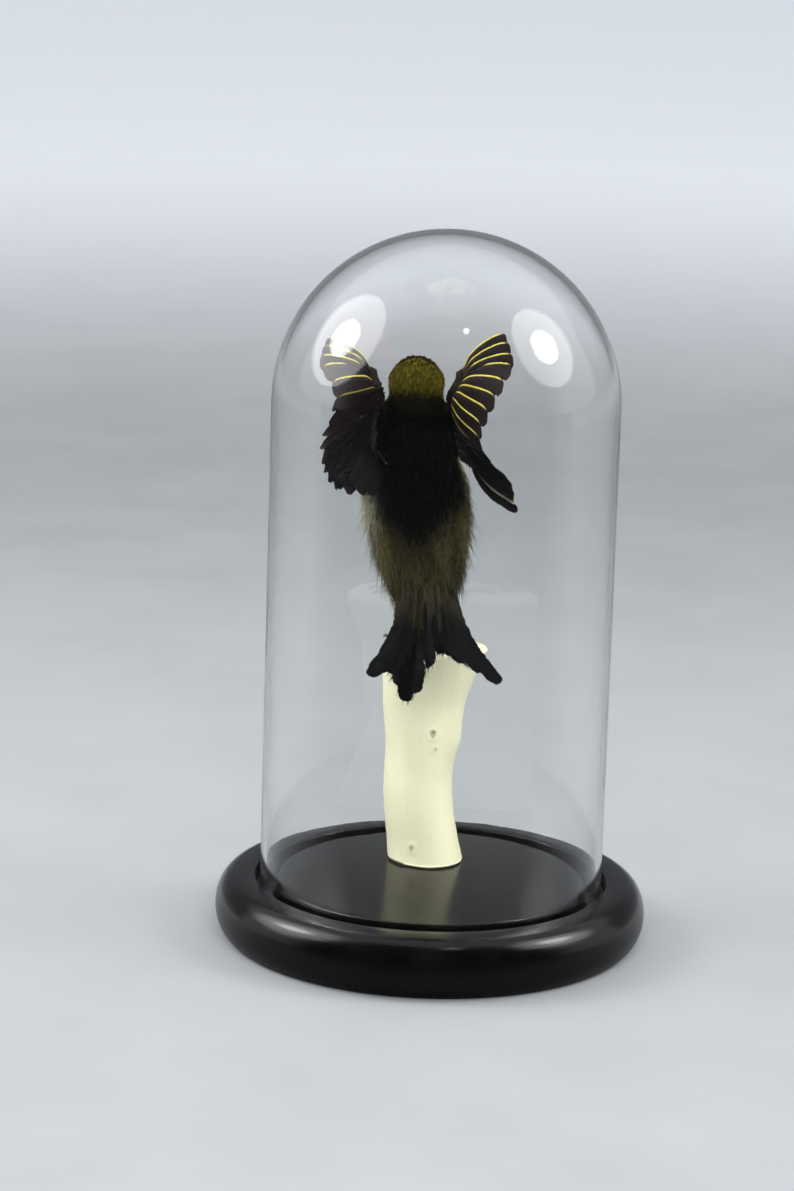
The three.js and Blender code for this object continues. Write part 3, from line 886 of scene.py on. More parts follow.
@dataclass(frozen=True)
class Plumage:
    """The species' colours over the body, with painted shade on the back between the raised wings, as a
    function of place. Colours are linear.
    """

    head_mm: tuple[float, float, float] = (-10.4, 24.0, 191.2)
    crown: Rgb = (0.096, 0.077, 0.0055)
    nape: Rgb = (0.007, 0.0056, 0.0024)
    # the dark mantle with painted shade from the raised wings laid into its colour
    mantle: Rgb = (0.0018, 0.0016, 0.0016)
    rump: Rgb = (0.072, 0.064, 0.025)
    flank: Rgb = (0.085, 0.080, 0.047)
    pale_flank: Rgb = (0.36, 0.35, 0.24)
    throat: Rgb = (0.62, 0.42, 0.035)
    breast: Rgb = (0.50, 0.17, 0.015)
    belly: Rgb = (0.34, 0.28, 0.12)
    lores: Rgb = (0.42, 0.38, 0.16)
    ear: Rgb = (0.16, 0.155, 0.12)
    malar: Rgb = (0.018, 0.017, 0.014)
    flight: Rgb = (0.013, 0.009, 0.010)

    def colours(self, points: np.ndarray, facing: np.ndarray) -> np.ndarray:
        """The plumage at places on the body.

        Args:
            points: The places, in metres.
            facing: The outward direction at each.

        Returns:
            One linear colour for each.
        """
        x, y, z = (points / MM).T
        forward, aside = facing[:, 1], x - BODY_MIDDLE_MM
        head = np.asarray(self.head_mm)
        colour = blend(np.broadcast_to(self.rump, points.shape), self.flank, smooth(forward, -0.35, 0.35))
        high = smooth(z, 133, 146) * smooth(y, 26, 20)
        wings_line = 0.9 * np.abs(aside)
        # painted shade: the back between the raised wings is painted near black
        painted_shade_between_wings = high * smooth(forward, 0.15, -0.35) * smooth(z, 135 + wings_line, 150 + wings_line)
        colour = blend(colour, self.mantle, painted_shade_between_wings)
        left_patch = smooth(x, -19, -25) * smooth(forward, -0.85, -0.3)
        pale = 0.35 * smooth(np.abs(z - 148), 16, 6) + 0.65 * smooth(np.abs(z - 155), 8, 3)
        colour = blend(colour, self.pale_flank, left_patch * pale)
        behind = 0.85 * smooth(z, 126, 110) * smooth(forward, 0.3, -0.2)
        colour = blend(colour, np.multiply(self.rump, 0.3), behind)
        clumps = np.sin(1.15 * x + 0.9 * np.sin(0.17 * z)) + np.sin(0.61 * x - 0.8 * np.sin(0.23 * z + 1) + 2)
        colour = colour * (1 + 0.26 * clumps * smooth(z, 160, 140))[:, None]
        front = smooth(forward, 0.15, 0.6)
        colour = blend(colour, self.belly, front * smooth(z, 158, 146))
        chest = front * smooth(np.abs(aside), 16.5, 13.5)
        colour = blend(colour, self.breast, chest * smooth(z, 150, 162) * smooth(z, 186, 176))
        on_throat = smooth(forward, 0.25, 0.65) * smooth(z, 172, 181) * smooth(y, 17, 24)
        colour = blend(colour, self.throat, on_throat)
        on_head = smooth(z, 178, 184)
        crown = on_head * smooth(z + 0.35 * (y - head[1]), head[2] - 4.6, head[2] + 0.6)
        nape = smooth(z, 183, 190) * smooth(y, 24, 17)
        colour = blend(colour, self.nape, nape)
        colour = blend(colour, self.crown, crown)
        cheek = on_head * smooth(np.abs(z - 188.5), 4.5, 1.5)
        cheek = cheek * smooth(np.abs(aside), 6, 8.5) * smooth(y, 20, 25)
        colour = blend(colour, self.ear, cheek * smooth(y, 33, 28))
        lores = on_head * smooth(y, 28, 31) * smooth(z, 184, 187) * smooth(z, 196.5, 194)
        colour = blend(colour, self.lores, lores)
        stripe = smooth(np.abs(z - (186.6 - 0.22 * (y - 32))), 1.7, 0.6)
        stripe = stripe * smooth(np.abs(aside), 3.5, 5) * smooth(y, 21, 25)
        return blend(colour, self.malar, 0.8 * stripe * smooth(y, 36, 34))

    @staticmethod
    def region(points: np.ndarray, facing: np.ndarray) -> np.ndarray:
        """The index in Region of each place on the body."""
        y, z = points[:, 1] / MM, points[:, 2] / MM
        order = list(Region)
        found = np.full(len(points), order.index(Region.FLANK))
        back = facing[:, 1] < -0.15
        found[back & (z > 147)] = order.index(Region.MANTLE)
        found[back & (z <= 147)] = order.index(Region.RUMP)
        found[~back & (facing[:, 1] > 0.3) & (z > 142)] = order.index(Region.BREAST)
        found[z > 174] = order.index(Region.NECK)
        found[(z > 183) & (y > 10)] = order.index(Region.HEAD)
        return found


@dataclass
class Lie:
    """The way the coat lies: from the bill, over the head and down the body to the tail."""

    spine_mm: tuple[tuple[float, float, float], ...] = (
        (-10.4, 40, 189.5), (-10.4, 31, 190.8), (-10.4, 23, 190.5), (-10.3, 18.5, 184.5), (-10.2, 15, 171),
        (-9.6, 11, 157), (-7.4, 6, 142), (-5.6, -0.5, 126), (-4.8, -6, 112),
    )
    samples: int = 160

    def __post_init__(self) -> None:
        """Samples the spine and the directions along it."""
        curve = Curve(np.array(self.spine_mm) * MM)
        shares = np.linspace(0, 1, self.samples)
        self.points = curve.at(shares)
        self.tangents = unit(curve.slope(shares))
        self.shares = shares

    def nearest(self, points: np.ndarray) -> np.ndarray:
        """The sample of the spine nearest to each point."""
        gaps = ((points[:, None, :] - self.points[None]) ** 2).sum(2)
        return gaps.argmin(1)

    def flow(self, points: np.ndarray, facing: np.ndarray) -> np.ndarray:
        """The direction that a feather lies in at each place, along the surface."""
        along = self.tangents[self.nearest(points)]
        return unit(along - facing * (along * facing).sum(1, keepdims=True))

    def unwrap(self, points: np.ndarray) -> np.ndarray:
        """The place of each point on a map of the body: round it, and along it."""
        index = self.nearest(points)
        along = self.tangents[index]
        side = np.array((1.0, 0.0, 0.0))
        back = np.cross(along, side)
        out = points - self.points[index]
        angle = np.arctan2(out @ side, (out * back).sum(1))
        run = ((out * along).sum(1) / 0.1).clip(-0.02, 0.02)
        along = (self.shares[index] + run).clip(0, 1)
        return np.stack([0.5 + 0.48 * angle / math.pi, 0.03 + 0.94 * along], 1)


@dataclass
class Skin:
    """The stuffed skin: one surface in place of the CAD's flesh, inside it by the coat's depth."""

    voxel_mm: float = 0.8
    depth_mm: float = 1.15
    smoothing: int = 10
    nodes: tuple[str, ...] = (
        "head", "neck", "trunk", "thigh_left", "thigh_right", "wing_left_arm", "wing_right_arm",
    )

    def build(self, plumage: Plumage) -> bpy.types.Object:
        """Makes the skin and colours it.

        Args:
            plumage: Its markings.

        Returns:
            The skin.
        """
        bm = remeshed("flesh", self.nodes, self.voxel_mm * MM, 0.3 * MM)
        evened(bm, self.smoothing)
        bm.normal_update()
        for vert in bm.verts:
            vert.co -= vert.normal * self.depth_mm * MM
        skin = object_of(bm, "skin", outward=False)
        points, normals = vertex_array(skin.data, "co"), vertex_array(skin.data, "normal")
        paint(skin.data, plumage.colours(points, normals) * 0.7)
        finished(skin, SkinFinish("bird_skin"), MOUNT_BODY, self.nodes)
        return skin


@dataclass
class BodyCoat:
    """The small feathers over the skin, and the loose barbs that soften their outline."""

    plumage: Plumage
    lie: Lie
    skin: bpy.types.Object
    seed: int = 11
    tries: int = 60000
    strands: int = 17000

    def __post_init__(self) -> None:
        """Prepares the skin for finding places on it."""
        mesh = self.skin.data
        mesh.calc_loop_triangles()
        self.verts, self.normals = vertex_array(mesh, "co"), vertex_array(mesh, "normal")
        self.triangles = np.empty(3 * len(mesh.loop_triangles), np.int32)
        mesh.loop_triangles.foreach_get("vertices", self.triangles)
        self.triangles = self.triangles.reshape(-1, 3)
        self.tree = BVHTree.FromPolygons(self.verts.tolist(), self.triangles.tolist())
        self.rng = np.random.default_rng(self.seed)

    def scatter(self, count: int) -> tuple[np.ndarray, np.ndarray]:
        """Random places on the skin.

        Args:
            count: How many.

        Returns:
            The places, and the outward direction at each.
        """
        corners = self.verts[self.triangles]
        area = np.linalg.norm(np.cross(corners[:, 1] - corners[:, 0], corners[:, 2] - corners[:, 0]), axis=1)
        picked = self.rng.choice(len(area), count, p=area / area.sum())
        share = self.rng.random((count, 2))
        fold = share.sum(1) > 1
        share[fold] = 1 - share[fold]
        weights = np.c_[1 - share.sum(1), share][:, :, None]
        places = (self.verts[self.triangles[picked]] * weights).sum(1)
        return places, unit((self.normals[self.triangles[picked]] * weights).sum(1))

    @staticmethod
    def thinned(places: np.ndarray, spacing: np.ndarray) -> np.ndarray:
        """The indices of places that keep their spacing from those before them."""
        cell = float(spacing.max())
        grid: dict[tuple[int, int, int], list[int]] = {}
        kept: list[int] = []
        keys = np.floor(places / cell).astype(int).tolist()
        rows = places.tolist()
        for index, (key, own, gap) in enumerate(zip(keys, rows, (spacing**2).tolist())):
            near = (
                other
                for dx in (-1, 0, 1) for dy in (-1, 0, 1) for dz in (-1, 0, 1)
                for other in grid.get((key[0] + dx, key[1] + dy, key[2] + dz), ())
            )
            if all(sum((a - b) ** 2 for a, b in zip(own, rows[other])) > gap for other in near):
                kept.append(index)
                grid.setdefault(tuple(key), []).append(index)
        return np.array(kept)

    def laid(self, roots: np.ndarray, facing: np.ndarray, flow: np.ndarray, lengths: np.ndarray,
             shares: np.ndarray, lift: np.ndarray) -> tuple[np.ndarray, np.ndarray]:
        """Lays feathers along the skin, so that each follows it from root to tip.

        Args:
            roots: Where the feathers grow.
            facing: The outward direction at each root.
            flow: The direction that each lies in.
            lengths: Their lengths.
            shares: The shares of the length at which a place is wanted.
            lift: How far each tip stands off the skin.

        Returns:
            The places along each feather, and the outward direction at each place.
        """
        count = len(roots)
        spine = np.empty((count, len(shares), 3))
        normal = np.empty_like(spine)
        for i in range(count):
            here, out, ahead = Vector(roots[i]), Vector(facing[i]), Vector(flow[i])
            before = 0.0
            for k, share in enumerate(shares):
                step = (share - before) * float(lengths[i])
                before = share
                if step > 0:
                    there = here + ahead * step
                    hit, hit_normal, _, _ = self.tree.find_nearest(there)
                    pull = hit - there
                    limit = 0.45 * step
                    if pull.length > limit:
                        pull *= limit / pull.length
                    else:
                        out = (out + hit_normal).normalized()
                    there += pull
                    ahead = (there - here).normalized()
                    here = there
                spine[i, k] = here
                normal[i, k] = out
        stand = 0.12 * MM + lift[:, None] * np.asarray(shares)[None] ** 1.3
        return spine + normal * stand[:, :, None], normal

    @staticmethod
    def on_face(places: np.ndarray) -> np.ndarray:
        """How far each place is on the face, where the feathers are short."""
        return smooth(places[:, 1] / MM, 25, 33) * (places[:, 2] > FACE_FLOOR)

    def build(self) -> None:
        """Makes one piece for each region, then the loose barbs."""
        places, facing = self.scatter(self.tries)
        region = self.plumage.region(places, facing)
        tracts = [TRACTS[r] for r in Region]
        spacing = np.array([t.spacing for t in tracts])[region] * MM
        kept = self.thinned(places, spacing)
        places, facing, region = places[kept], facing[kept], region[kept]
        flow = self.lie.flow(places, facing)
        side = np.cross(facing, flow)
        flow = unit(flow + side * self.rng.normal(0, 0.09, len(flow))[:, None])
        template = Template.vane()
        rings = template.rings
        for index, name in enumerate(Region):
            chosen = np.flatnonzero(region == index)
            tract = TRACTS[name]
            size = self.rng.normal(1, 0.1, len(chosen)).clip(0.7, 1.3)
            size *= 1 - 0.5 * self.on_face(places[chosen])
            lift = tract.lift * MM * self.rng.uniform(0.4, 1.5, len(chosen))
            lift *= 1 + 1.6 * smooth(places[chosen, 2] / MM, 196, 200)
            size *= 1 + 0.6 * smooth(places[chosen, 2] / MM, 128, 112) * (places[chosen, 1] < 0.004)
            spine, normal = self.laid(
                places[chosen], facing[chosen], flow[chosen], tract.length * MM * size, rings, lift
            )
            shade = self.plumage.colours(places[chosen], facing[chosen])
            shade *= self.rng.normal(1, 0.13, len(chosen)).clip(0.6, 1.5)[:, None]
            coat = Coat(template)
            homes = self.lie.unwrap(places[chosen])
            coat.add_feathers(spine, normal, 0.5 * tract.width * MM * size, 0.09 * MM, shade, homes, 0.6)
            slot = "crown_plumage" if name is Region.HEAD else "body_plumage"
            coat.piece(name.value, PlumageFinish("soft_plumage", barb_count=60.0, streak=0.4), slot)
        self.add_loose_barbs()

    def add_loose_barbs(self) -> None:
        """Fine single barbs all over, which break up the feathers' edges."""
        places, facing = self.scatter(self.strands)
        region = self.plumage.region(places, facing)
        flow = self.lie.flow(places, facing)
        side = np.cross(facing, flow)
        flow = unit(flow + side * self.rng.normal(0, 0.22, len(flow))[:, None])
        lengths = np.array([TRACTS[r].length for r in Region])[region] * MM
        lengths *= self.rng.uniform(0.55, 1.15, len(places))
        lengths *= 1 - 0.55 * self.on_face(places)
        lifts = np.array([TRACTS[r].lift for r in Region]) * MM
        lift = lifts[region] * self.rng.uniform(0.6, 3.4, len(places))
        wispy = smooth(places[:, 2] / MM, 165, 150) * smooth(facing[:, 1], 0.6, 0.2)
        lift *= 1 + 1.3 * wispy * self.rng.random(len(places)) ** 2
        template = Template.vane(4, 3)
        spine, normal = self.laid(places, facing, flow, lengths, template.rings, lift)
        shade = self.plumage.colours(places, facing)
        shade *= self.rng.normal(1.1, 0.3, len(places)).clip(0.4, 2.0)[:, None]
        half = self.rng.uniform(0.07, 0.15, len(places)) * MM
        back = places[:, 1] < self.lie.points[self.lie.nearest(places), 1]
        for name, chosen in (("loose_barbs_back", back), ("loose_barbs_front", ~back)):
            coat = Coat(template)
            homes = self.lie.unwrap(places[chosen])
            wisps = spine[chosen], normal[chosen], half[chosen]
            coat.add_feathers(*wisps, HALF_THICK, shade[chosen], homes, 0.3)
            coat.piece(name, PlumageFinish("loose_barbs", barb_count=20.0, streak=0.15), "body_plumage")


# ---------------------------------------------------------------- flight feathers


class Side(Enum):
    """The bird's two sides, with the sign that turns a vane's upper face to its back."""

    LEFT = "left"
    RIGHT = "right"

    @property
    def upper(self) -> float:
        """1 where a raised wing's upper face is on the feathers' own normal, and -1 where not."""
        return 1.0 if self is Side.LEFT else -1.0

    def carried(self, points: np.ndarray) -> np.ndarray:
        """Points given for the right side, on this side."""
        return np.array(points, float) if self is Side.RIGHT else mirrored(points)


@dataclass(frozen=True)
class Vanes:
    """How the feathers of one row look and are set. Sizes are in millimetres."""

    outer: float
    inner: float
    camber: float = 2.0
    tilt: float = 0.17
    blunt: float = 0.8
    thickness: float = 0.16
    ragged: float = 0.05
    splits: int = 2
    outer_wear: float = 0.2


def vane_outline(share: np.ndarray, blunt: float) -> np.ndarray:
    """A vane's width at shares of its length, as a share of its greatest."""
    opening = 0.16 + 0.84 * smooth(share, 0.02, 0.42)
    tip = np.clip((share - blunt) / (1 - blunt), 0, 1)
    return opening * np.sqrt(np.clip(1 - tip**2.2, 0, 1))


@dataclass
class FeatherRow:
    """A row of long feathers whose quills and tips stand on two curves."""

    quills: Curve
    tips: Curve
    count: int
    vanes: Vanes
    upper: float
    shares: np.ndarray | None = None
    reach: float = 1.0
    offset_mm: float = 0.0
    width_of: Callable[[float], float] = lambda t: 1.0
    bow_of: Callable[[float], float] = lambda t: 0.0
    turn_of: Callable[[float], float] = lambda t: 1.0

    def frames(self) -> list[dict[str, np.ndarray]]:
        """Each feather's root, length and directions."""
        found = []
        shares = np.linspace(0, 1, self.count) if self.shares is None else self.shares
        for t in shares:
            root, tip = self.quills.at([t])[0], self.tips.at([t])[0]
            across = self.quills.slope([t])[0] + self.tips.slope([t])[0]
            bow = self.bow_of(t) * MM
            first = unit(tip - root)
            level = unit(across - first * (across @ first))
            end = root + (tip - root) * self.reach - level * bow
            along = unit(end - root)
            aside = unit(across - along * (across @ along))
            normal = np.cross(along, aside) * self.upper
            tilt = -self.vanes.tilt * self.turn_of(t)
            turned_aside = aside * math.cos(tilt) + normal * math.sin(tilt)
            turned_normal = normal * math.cos(tilt) - aside * math.sin(tilt)
            found.append(
                {
                    "root": root + normal * self.offset_mm * MM,
                    "length": float(np.linalg.norm(end - root)),
                    "along": along,
                    "aside": turned_aside,
                    "normal": turned_normal,
                    "bow": bow,
                    "width": self.width_of(t),
                    "share": float(t),
                }
            )
        return found


@dataclass
class FlightFeathers:
    """Long feathers with shafts, vanes and frayed edges, gathered into one piece."""

    seed: int
    columns: int = 12
    rows: int = 40
    shaft_sides: int = 6
    shaft_rings: int = 14

    def __post_init__(self) -> None:
        """Makes the templates and the empty coats."""
        self.rng = np.random.default_rng(self.seed)
        self.blades = Coat(Template.blade(self.columns, self.rows))
        self.shafts = Coat(self.shaft_template())
        self.placed = 0

    def shaft_template(self) -> Template:
        """A closed tube along y, with its section in x and z."""
        bm = bmesh.new()
        bmesh.ops.create_cone(
            bm, cap_ends=True, cap_tris=True, segments=self.shaft_sides, radius1=1, radius2=1, depth=1
        )
        upright = [e for e in bm.edges if abs(e.verts[0].co.z - e.verts[1].co.z) > 0.5]
        bmesh.ops.subdivide_edges(bm, edges=upright, cuts=self.shaft_rings, use_grid_fill=True)
        reshape(bm, lambda p: Vector((p.x, p.z + 0.5, p.y)))
        bmesh.ops.recalc_face_normals(bm, faces=bm.faces)
        return Template.of(bm)

    def spine(self, frame_of: dict, vanes: Vanes, share: np.ndarray) -> np.ndarray:
        """Places along a feather's shaft, bowed and cambered."""
        return (
            frame_of["root"]
            + frame_of["along"] * (share * frame_of["length"])[:, None]
            + frame_of["aside"] * (frame_of["bow"] * share**3)[:, None]
            + frame_of["normal"] * (vanes.camber * MM * np.sin(math.pi * share.clip(0, 1)))[:, None]
        )

    def edge_wear(self, share: np.ndarray, vanes: Vanes) -> np.ndarray:
        """How much of each row's width is left at a feather's two worn edges."""
        rows = self.rows + 1
        left = np.clip(1 - np.abs(self.rng.normal(0, vanes.ragged, (2, rows))), 0.4, 1)
        for edge in range(2):
            for _ in range(self.rng.integers(0, vanes.splits + 1)):
                row = self.rng.integers(int(0.45 * rows), rows - 2)
                left[edge, row] *= self.rng.uniform(0.45, 0.75)
        left[0] = 1 - (1 - left[0]) * vanes.outer_wear
        row = np.round(share * self.rows).astype(int)
        return left[:, row]

    def add_row(self, row: FeatherRow, colour: Callable, bake: "BakeStrips") -> None:
        """Adds a row's feathers.

        Args:
            row: The row.
            colour: Gives the colours for a feather's share along its row, the places across from
                -1 at the leading edge to 1, and the shares along it.
            bake: Gives each feather its strips of the baking map.
        """
        vanes = row.vanes
        for one in row.frames():
            across, share, through = self.blades.template.points.T
            left = self.edge_wear(share, vanes)
            outline = vane_outline(share, vanes.blunt) * one["width"]
            wear = np.where(np.abs(across) > 0.95, np.where(across < 0, left[0], left[1]), 1.0)
            reach = np.where(across < 0, vanes.outer, vanes.inner) * MM * outline * across * wear
            edge_thin = 1 - 0.6 * np.abs(across)
            centre = self.spine(one, vanes, share)
            bend = np.arctan(3 * one["bow"] * share**2 / one["length"])[:, None]
            level = one["aside"] * np.cos(bend) - one["along"] * np.sin(bend)
            ahead = one["along"] * np.cos(bend) + one["aside"] * np.sin(bend)
            fold = -0.10 * np.abs(reach) - 9.0 * reach**2 / MM * 0.001
            points = (
                centre
                + ahead * (0.45 * np.abs(reach) * (share < 0.999))[:, None]
                + level * reach[:, None]
                + one["normal"] * (through * vanes.thickness * 0.5 * MM * edge_thin + fold)[:, None]
            )
            shades = colour(one["share"], across, share) * self.rng.normal(1, 0.06)
            vane = np.stack([across * vanes.inner * 0.25, share * one["length"] / MM * 0.1], 1)
            self.blades.add(points[None], shades[None], vane[None], bake.blade(across, share, through)[None])
            self.add_shaft(one, vanes, colour, bake)

    def add_shaft(self, one: dict, vanes: Vanes, colour: Callable, bake: "BakeStrips") -> None:
        """Adds one feather's shaft, from its bare quill to near the tip."""
        x, share, z = self.shafts.template.points.T
        run = -0.05 + 1.01 * share
        radius = (0.30 - 0.22 * share) * MM * min(1.0, one["length"] / 0.03)
        centre = self.spine(one, vanes, run)
        points = centre + one["aside"] * (x * radius)[:, None] + one["normal"] * (z * radius)[:, None]
        base = colour(one["share"], np.full_like(share, 0.25), share)
        shades = blend(base, base * 0.5 + 0.012, smooth(share, 0.5, 0.0))
        vane = np.stack([x * 0.1, share], 1)
        self.shafts.add(points[None], shades[None], vane[None], bake.shaft(x, share, z)[None])

    def pieces(self, name: str, body_finish: Finish, slot: str, replaces: Sequence[str]) -> None:
        """Makes the vanes' piece and the shafts' piece."""
        self.blades.piece(name, body_finish, slot, replaces)
        quills = PlumageFinish("quills", roughness=0.35, streak=0.0, barb_depth=0.0)
        self.shafts.piece(f"{name}_shafts", quills, slot)


@dataclass
class BakeStrips:
    """Shares out a baking map: two upright strips for each feather, one for each face."""

    feathers: int
    used: int = 0

    def blade(self, across: np.ndarray, share: np.ndarray, through: np.ndarray) -> np.ndarray:
        """The next feather's places on the map. The rim keeps a little width of its own."""
        strip = 1 / (2 * self.feathers)
        left = (2 * self.used + (through > 0)) * strip
        narrow = np.where(through > 0, 0.84, 0.80)
        self.used += 1
        return np.stack([left + strip * (0.5 + 0.5 * across * narrow), 0.02 + 0.96 * share], 1)

    def shaft(self, x: np.ndarray, share: np.ndarray, z: np.ndarray) -> np.ndarray:
        """The last feather's shaft, unrolled on its own strip."""
        strip = 1 / self.feathers
        angle = np.arctan2(z, x) / math.tau
        return np.stack([(self.used - 1 + 0.5 + 0.8 * angle) * strip, 0.02 + 0.96 * share], 1)


@dataclass
class Wing:
    """One raised wing: primaries on the hand, secondaries on the forearm, and coverts over both."""

    side: Side
    seed: int
    hand_tip_mm: tuple[float, float, float] = (4.8, 14.5, 195)
    hand_mm: tuple[float, float, float] = (3.6, 19, 191.5)
    wrist_mm: tuple[float, float, float] = (1.9, 23.5, 187)
    forearm_mm: tuple[tuple[float, float, float], ...] = ((3, 19.5, 182.5), (4.4, 14, 177.5))
    elbow_mm: tuple[float, float, float] = (5.8, 8, 172.5)
    tips_mm: tuple[tuple[float, float, float], ...] = ()
    wrist_share: float = 0.4
    primary_share: float = 0.6
    primaries: int = 9
    secondaries: int = 7
    primary_places: tuple[float, ...] = (0, 0.09, 0.20, 0.30, 0.45, 0.60, 0.74, 0.87, 1)
    bright_until: float = 1.2

    lemon: Rgb = (0.82, 0.69, 0.11)
    ember: Rgb = (0.55, 0.07, 0.01)
    brown_black: Rgb = (0.016, 0.010, 0.011)
    blue_black: Rgb = (0.0068, 0.0058, 0.0068)
    cream: Rgb = (0.62, 0.56, 0.40)
    olive: Rgb = (0.030, 0.026, 0.014)

    def curves(self) -> tuple[Curve, Curve]:
        """The curve of the quills and the curve of the tips, from the outermost feather inwards."""
        hand = self.hand_tip_mm, self.hand_mm, self.wrist_mm
        bones = np.array([*hand, *self.forearm_mm, self.elbow_mm]) * MM
        return Curve(self.side.carried(bones)), Curve(np.array(self.tips_mm) * MM)

    def stretch(self, curve: Curve, low: float, high: float) -> Curve:
        """Part of a curve, as a curve of its own."""
        return Curve(curve.at(np.linspace(low, high, 9)))

    def primary_colour(self, t: float, across: np.ndarray, share: np.ndarray) -> np.ndarray:
        """Brown-black, with a yellow leading edge that turns red at its root."""
        base = np.broadcast_to(self.brown_black, (len(across), 3))
        base = blend(base, np.asarray(self.brown_black) * 1.8, smooth(across, 0.1, 0.9))
        edge = smooth(across, -0.75, -0.84) * smooth(share, 0.97, 0.90)
        red = smooth(share, 0.30, 0.12) * smooth(t, 0.1, 0.4)
        tint = blend(np.broadcast_to(self.lemon, base.shape), np.multiply(self.ember, 0.5), red)
        return blend(base, tint, edge * smooth(t, self.bright_until, self.bright_until - 0.15))

    def secondary_colour(self, t: float, across: np.ndarray, share: np.ndarray) -> np.ndarray:
        """Blue-black, with a dull edge; the last feather but one on the right has a cream one."""
        base = np.broadcast_to(self.blue_black, (len(across), 3))
        base = blend(base, self.brown_black, smooth(across, 0.0, 0.8))
        edge = smooth(across, -0.7, -0.8) * smooth(share, 0.8, 0.6) * smooth(t, 0.2, 0.0)
        colour = blend(base, self.lemon, 0.5 * edge * (self.side is Side.RIGHT))
        trailing = smooth(across, 0.60, 0.78) * (self.side is Side.RIGHT and 0.8 < t < 0.9)
        return blend(colour, self.cream, trailing)

    def covert_colour(self, t: float, across: np.ndarray, share: np.ndarray) -> np.ndarray:
        """Dark olive, nearly black at the tip."""
        base = np.broadcast_to(self.olive, (len(across), 3))
        return blend(base, self.brown_black, smooth(share, 0.35, 0.8))

    def under_colour(self, t: float, across: np.ndarray, share: np.ndarray) -> np.ndarray:
        """The pale grey of the wing's lining."""
        base = np.broadcast_to((0.12, 0.11, 0.085), (len(across), 3))
        return blend(base, (0.05, 0.045, 0.035), smooth(share, 0.2, 0.9))

    def build(self) -> None:
        """Makes the flight feathers, then the coverts on both faces."""
        quills, tips = self.curves()
        outer = {
            "quills": self.stretch(quills, 0, self.wrist_share),
            "tips": self.stretch(tips, 0, self.primary_share),
        }
        inner = {
            "quills": self.stretch(quills, self.wrist_share + 0.05, 1),
            "tips": self.stretch(tips, self.primary_share + 0.07, 1),
        }
        upper = self.side.upper
        flight = FlightFeathers(self.seed)
        strips = BakeStrips(self.primaries + self.secondaries)
        primary = Vanes(outer=2.1, inner=5.2, camber=3.0, tilt=0.2, blunt=0.82)
        secondary = Vanes(outer=2.9, inner=5.6, camber=3.0, tilt=0.2, blunt=0.87)
        primary_row = FeatherRow(
            count=self.primaries, vanes=primary, upper=upper, shares=np.array(self.primary_places),
            width_of=lambda t: 0.85 + 0.25 * t, bow_of=lambda t: 4.0 - 2.2 * t, **outer,
        )
        flight.add_row(primary_row, self.primary_colour, strips)
        places = np.linspace(0, 1, self.secondaries)
        for shares, lowered, narrowed, bow in ((places[:-1], 0.0, 1.0, 1.5), (places[-1:], -1.5, 0.52, -6.0)):
            row = FeatherRow(
                count=len(shares), vanes=secondary, upper=upper, shares=shares, offset_mm=lowered,
                width_of=lambda t, narrowed=narrowed: narrowed, bow_of=lambda t, bow=bow: bow, **inner,
            )
            flight.add_row(row, self.secondary_colour, strips)
        name = f"wing_{self.side.value}"
        finish = PlumageFinish("wing_vanes", roughness=0.42, gloss=0.2, barb_count=42.0, streak=0.25)
        flight.pieces(
            f"{name}_flight", finish, "flight_feathers", [f"{name}_primaries", f"{name}_secondaries"]
        )
        self.build_coverts(outer, inner, upper)

    def build_coverts(self, outer: dict[str, Curve], inner: dict[str, Curve], upper: float) -> None:
        """Makes three rows on the upper face and two on the under face."""
        coverts = FlightFeathers(self.seed + 1, columns=6, rows=18, shaft_rings=6)
        rows = []
        soft = Vanes(outer=2.2, inner=3.2, camber=0.7, tilt=0.14, blunt=0.72, ragged=0.1, splits=3)
        for reach, height in ((0.23, 0.8), (0.15, 1.2), (0.09, 1.5)):
            for curves, count in ((outer, 8), (inner, 7)):
                rows.append((FeatherRow(count=count, vanes=soft, upper=upper, reach=reach, offset_mm=height,
                                        width_of=lambda t: 0.95, **curves), self.covert_colour))
        for reach, height in ((0.30, -0.9), (0.18, -1.5)):
            for curves, count in ((outer, 8), (inner, 7)):
                rows.append((FeatherRow(count=count, vanes=soft, upper=upper, reach=reach, offset_mm=height,
                                        width_of=lambda t: 0.95, **curves), self.under_colour))
        strips = BakeStrips(sum(row.count for row, _ in rows))
        for row, colour in rows:
            coverts.add_row(row, colour, strips)
        finish = PlumageFinish("coverts", roughness=0.55, gloss=0.2, barb_count=42.0, streak=0.3)
        coverts.pieces(f"wing_{self.side.value}_coverts", finish, "flight_feathers", ())


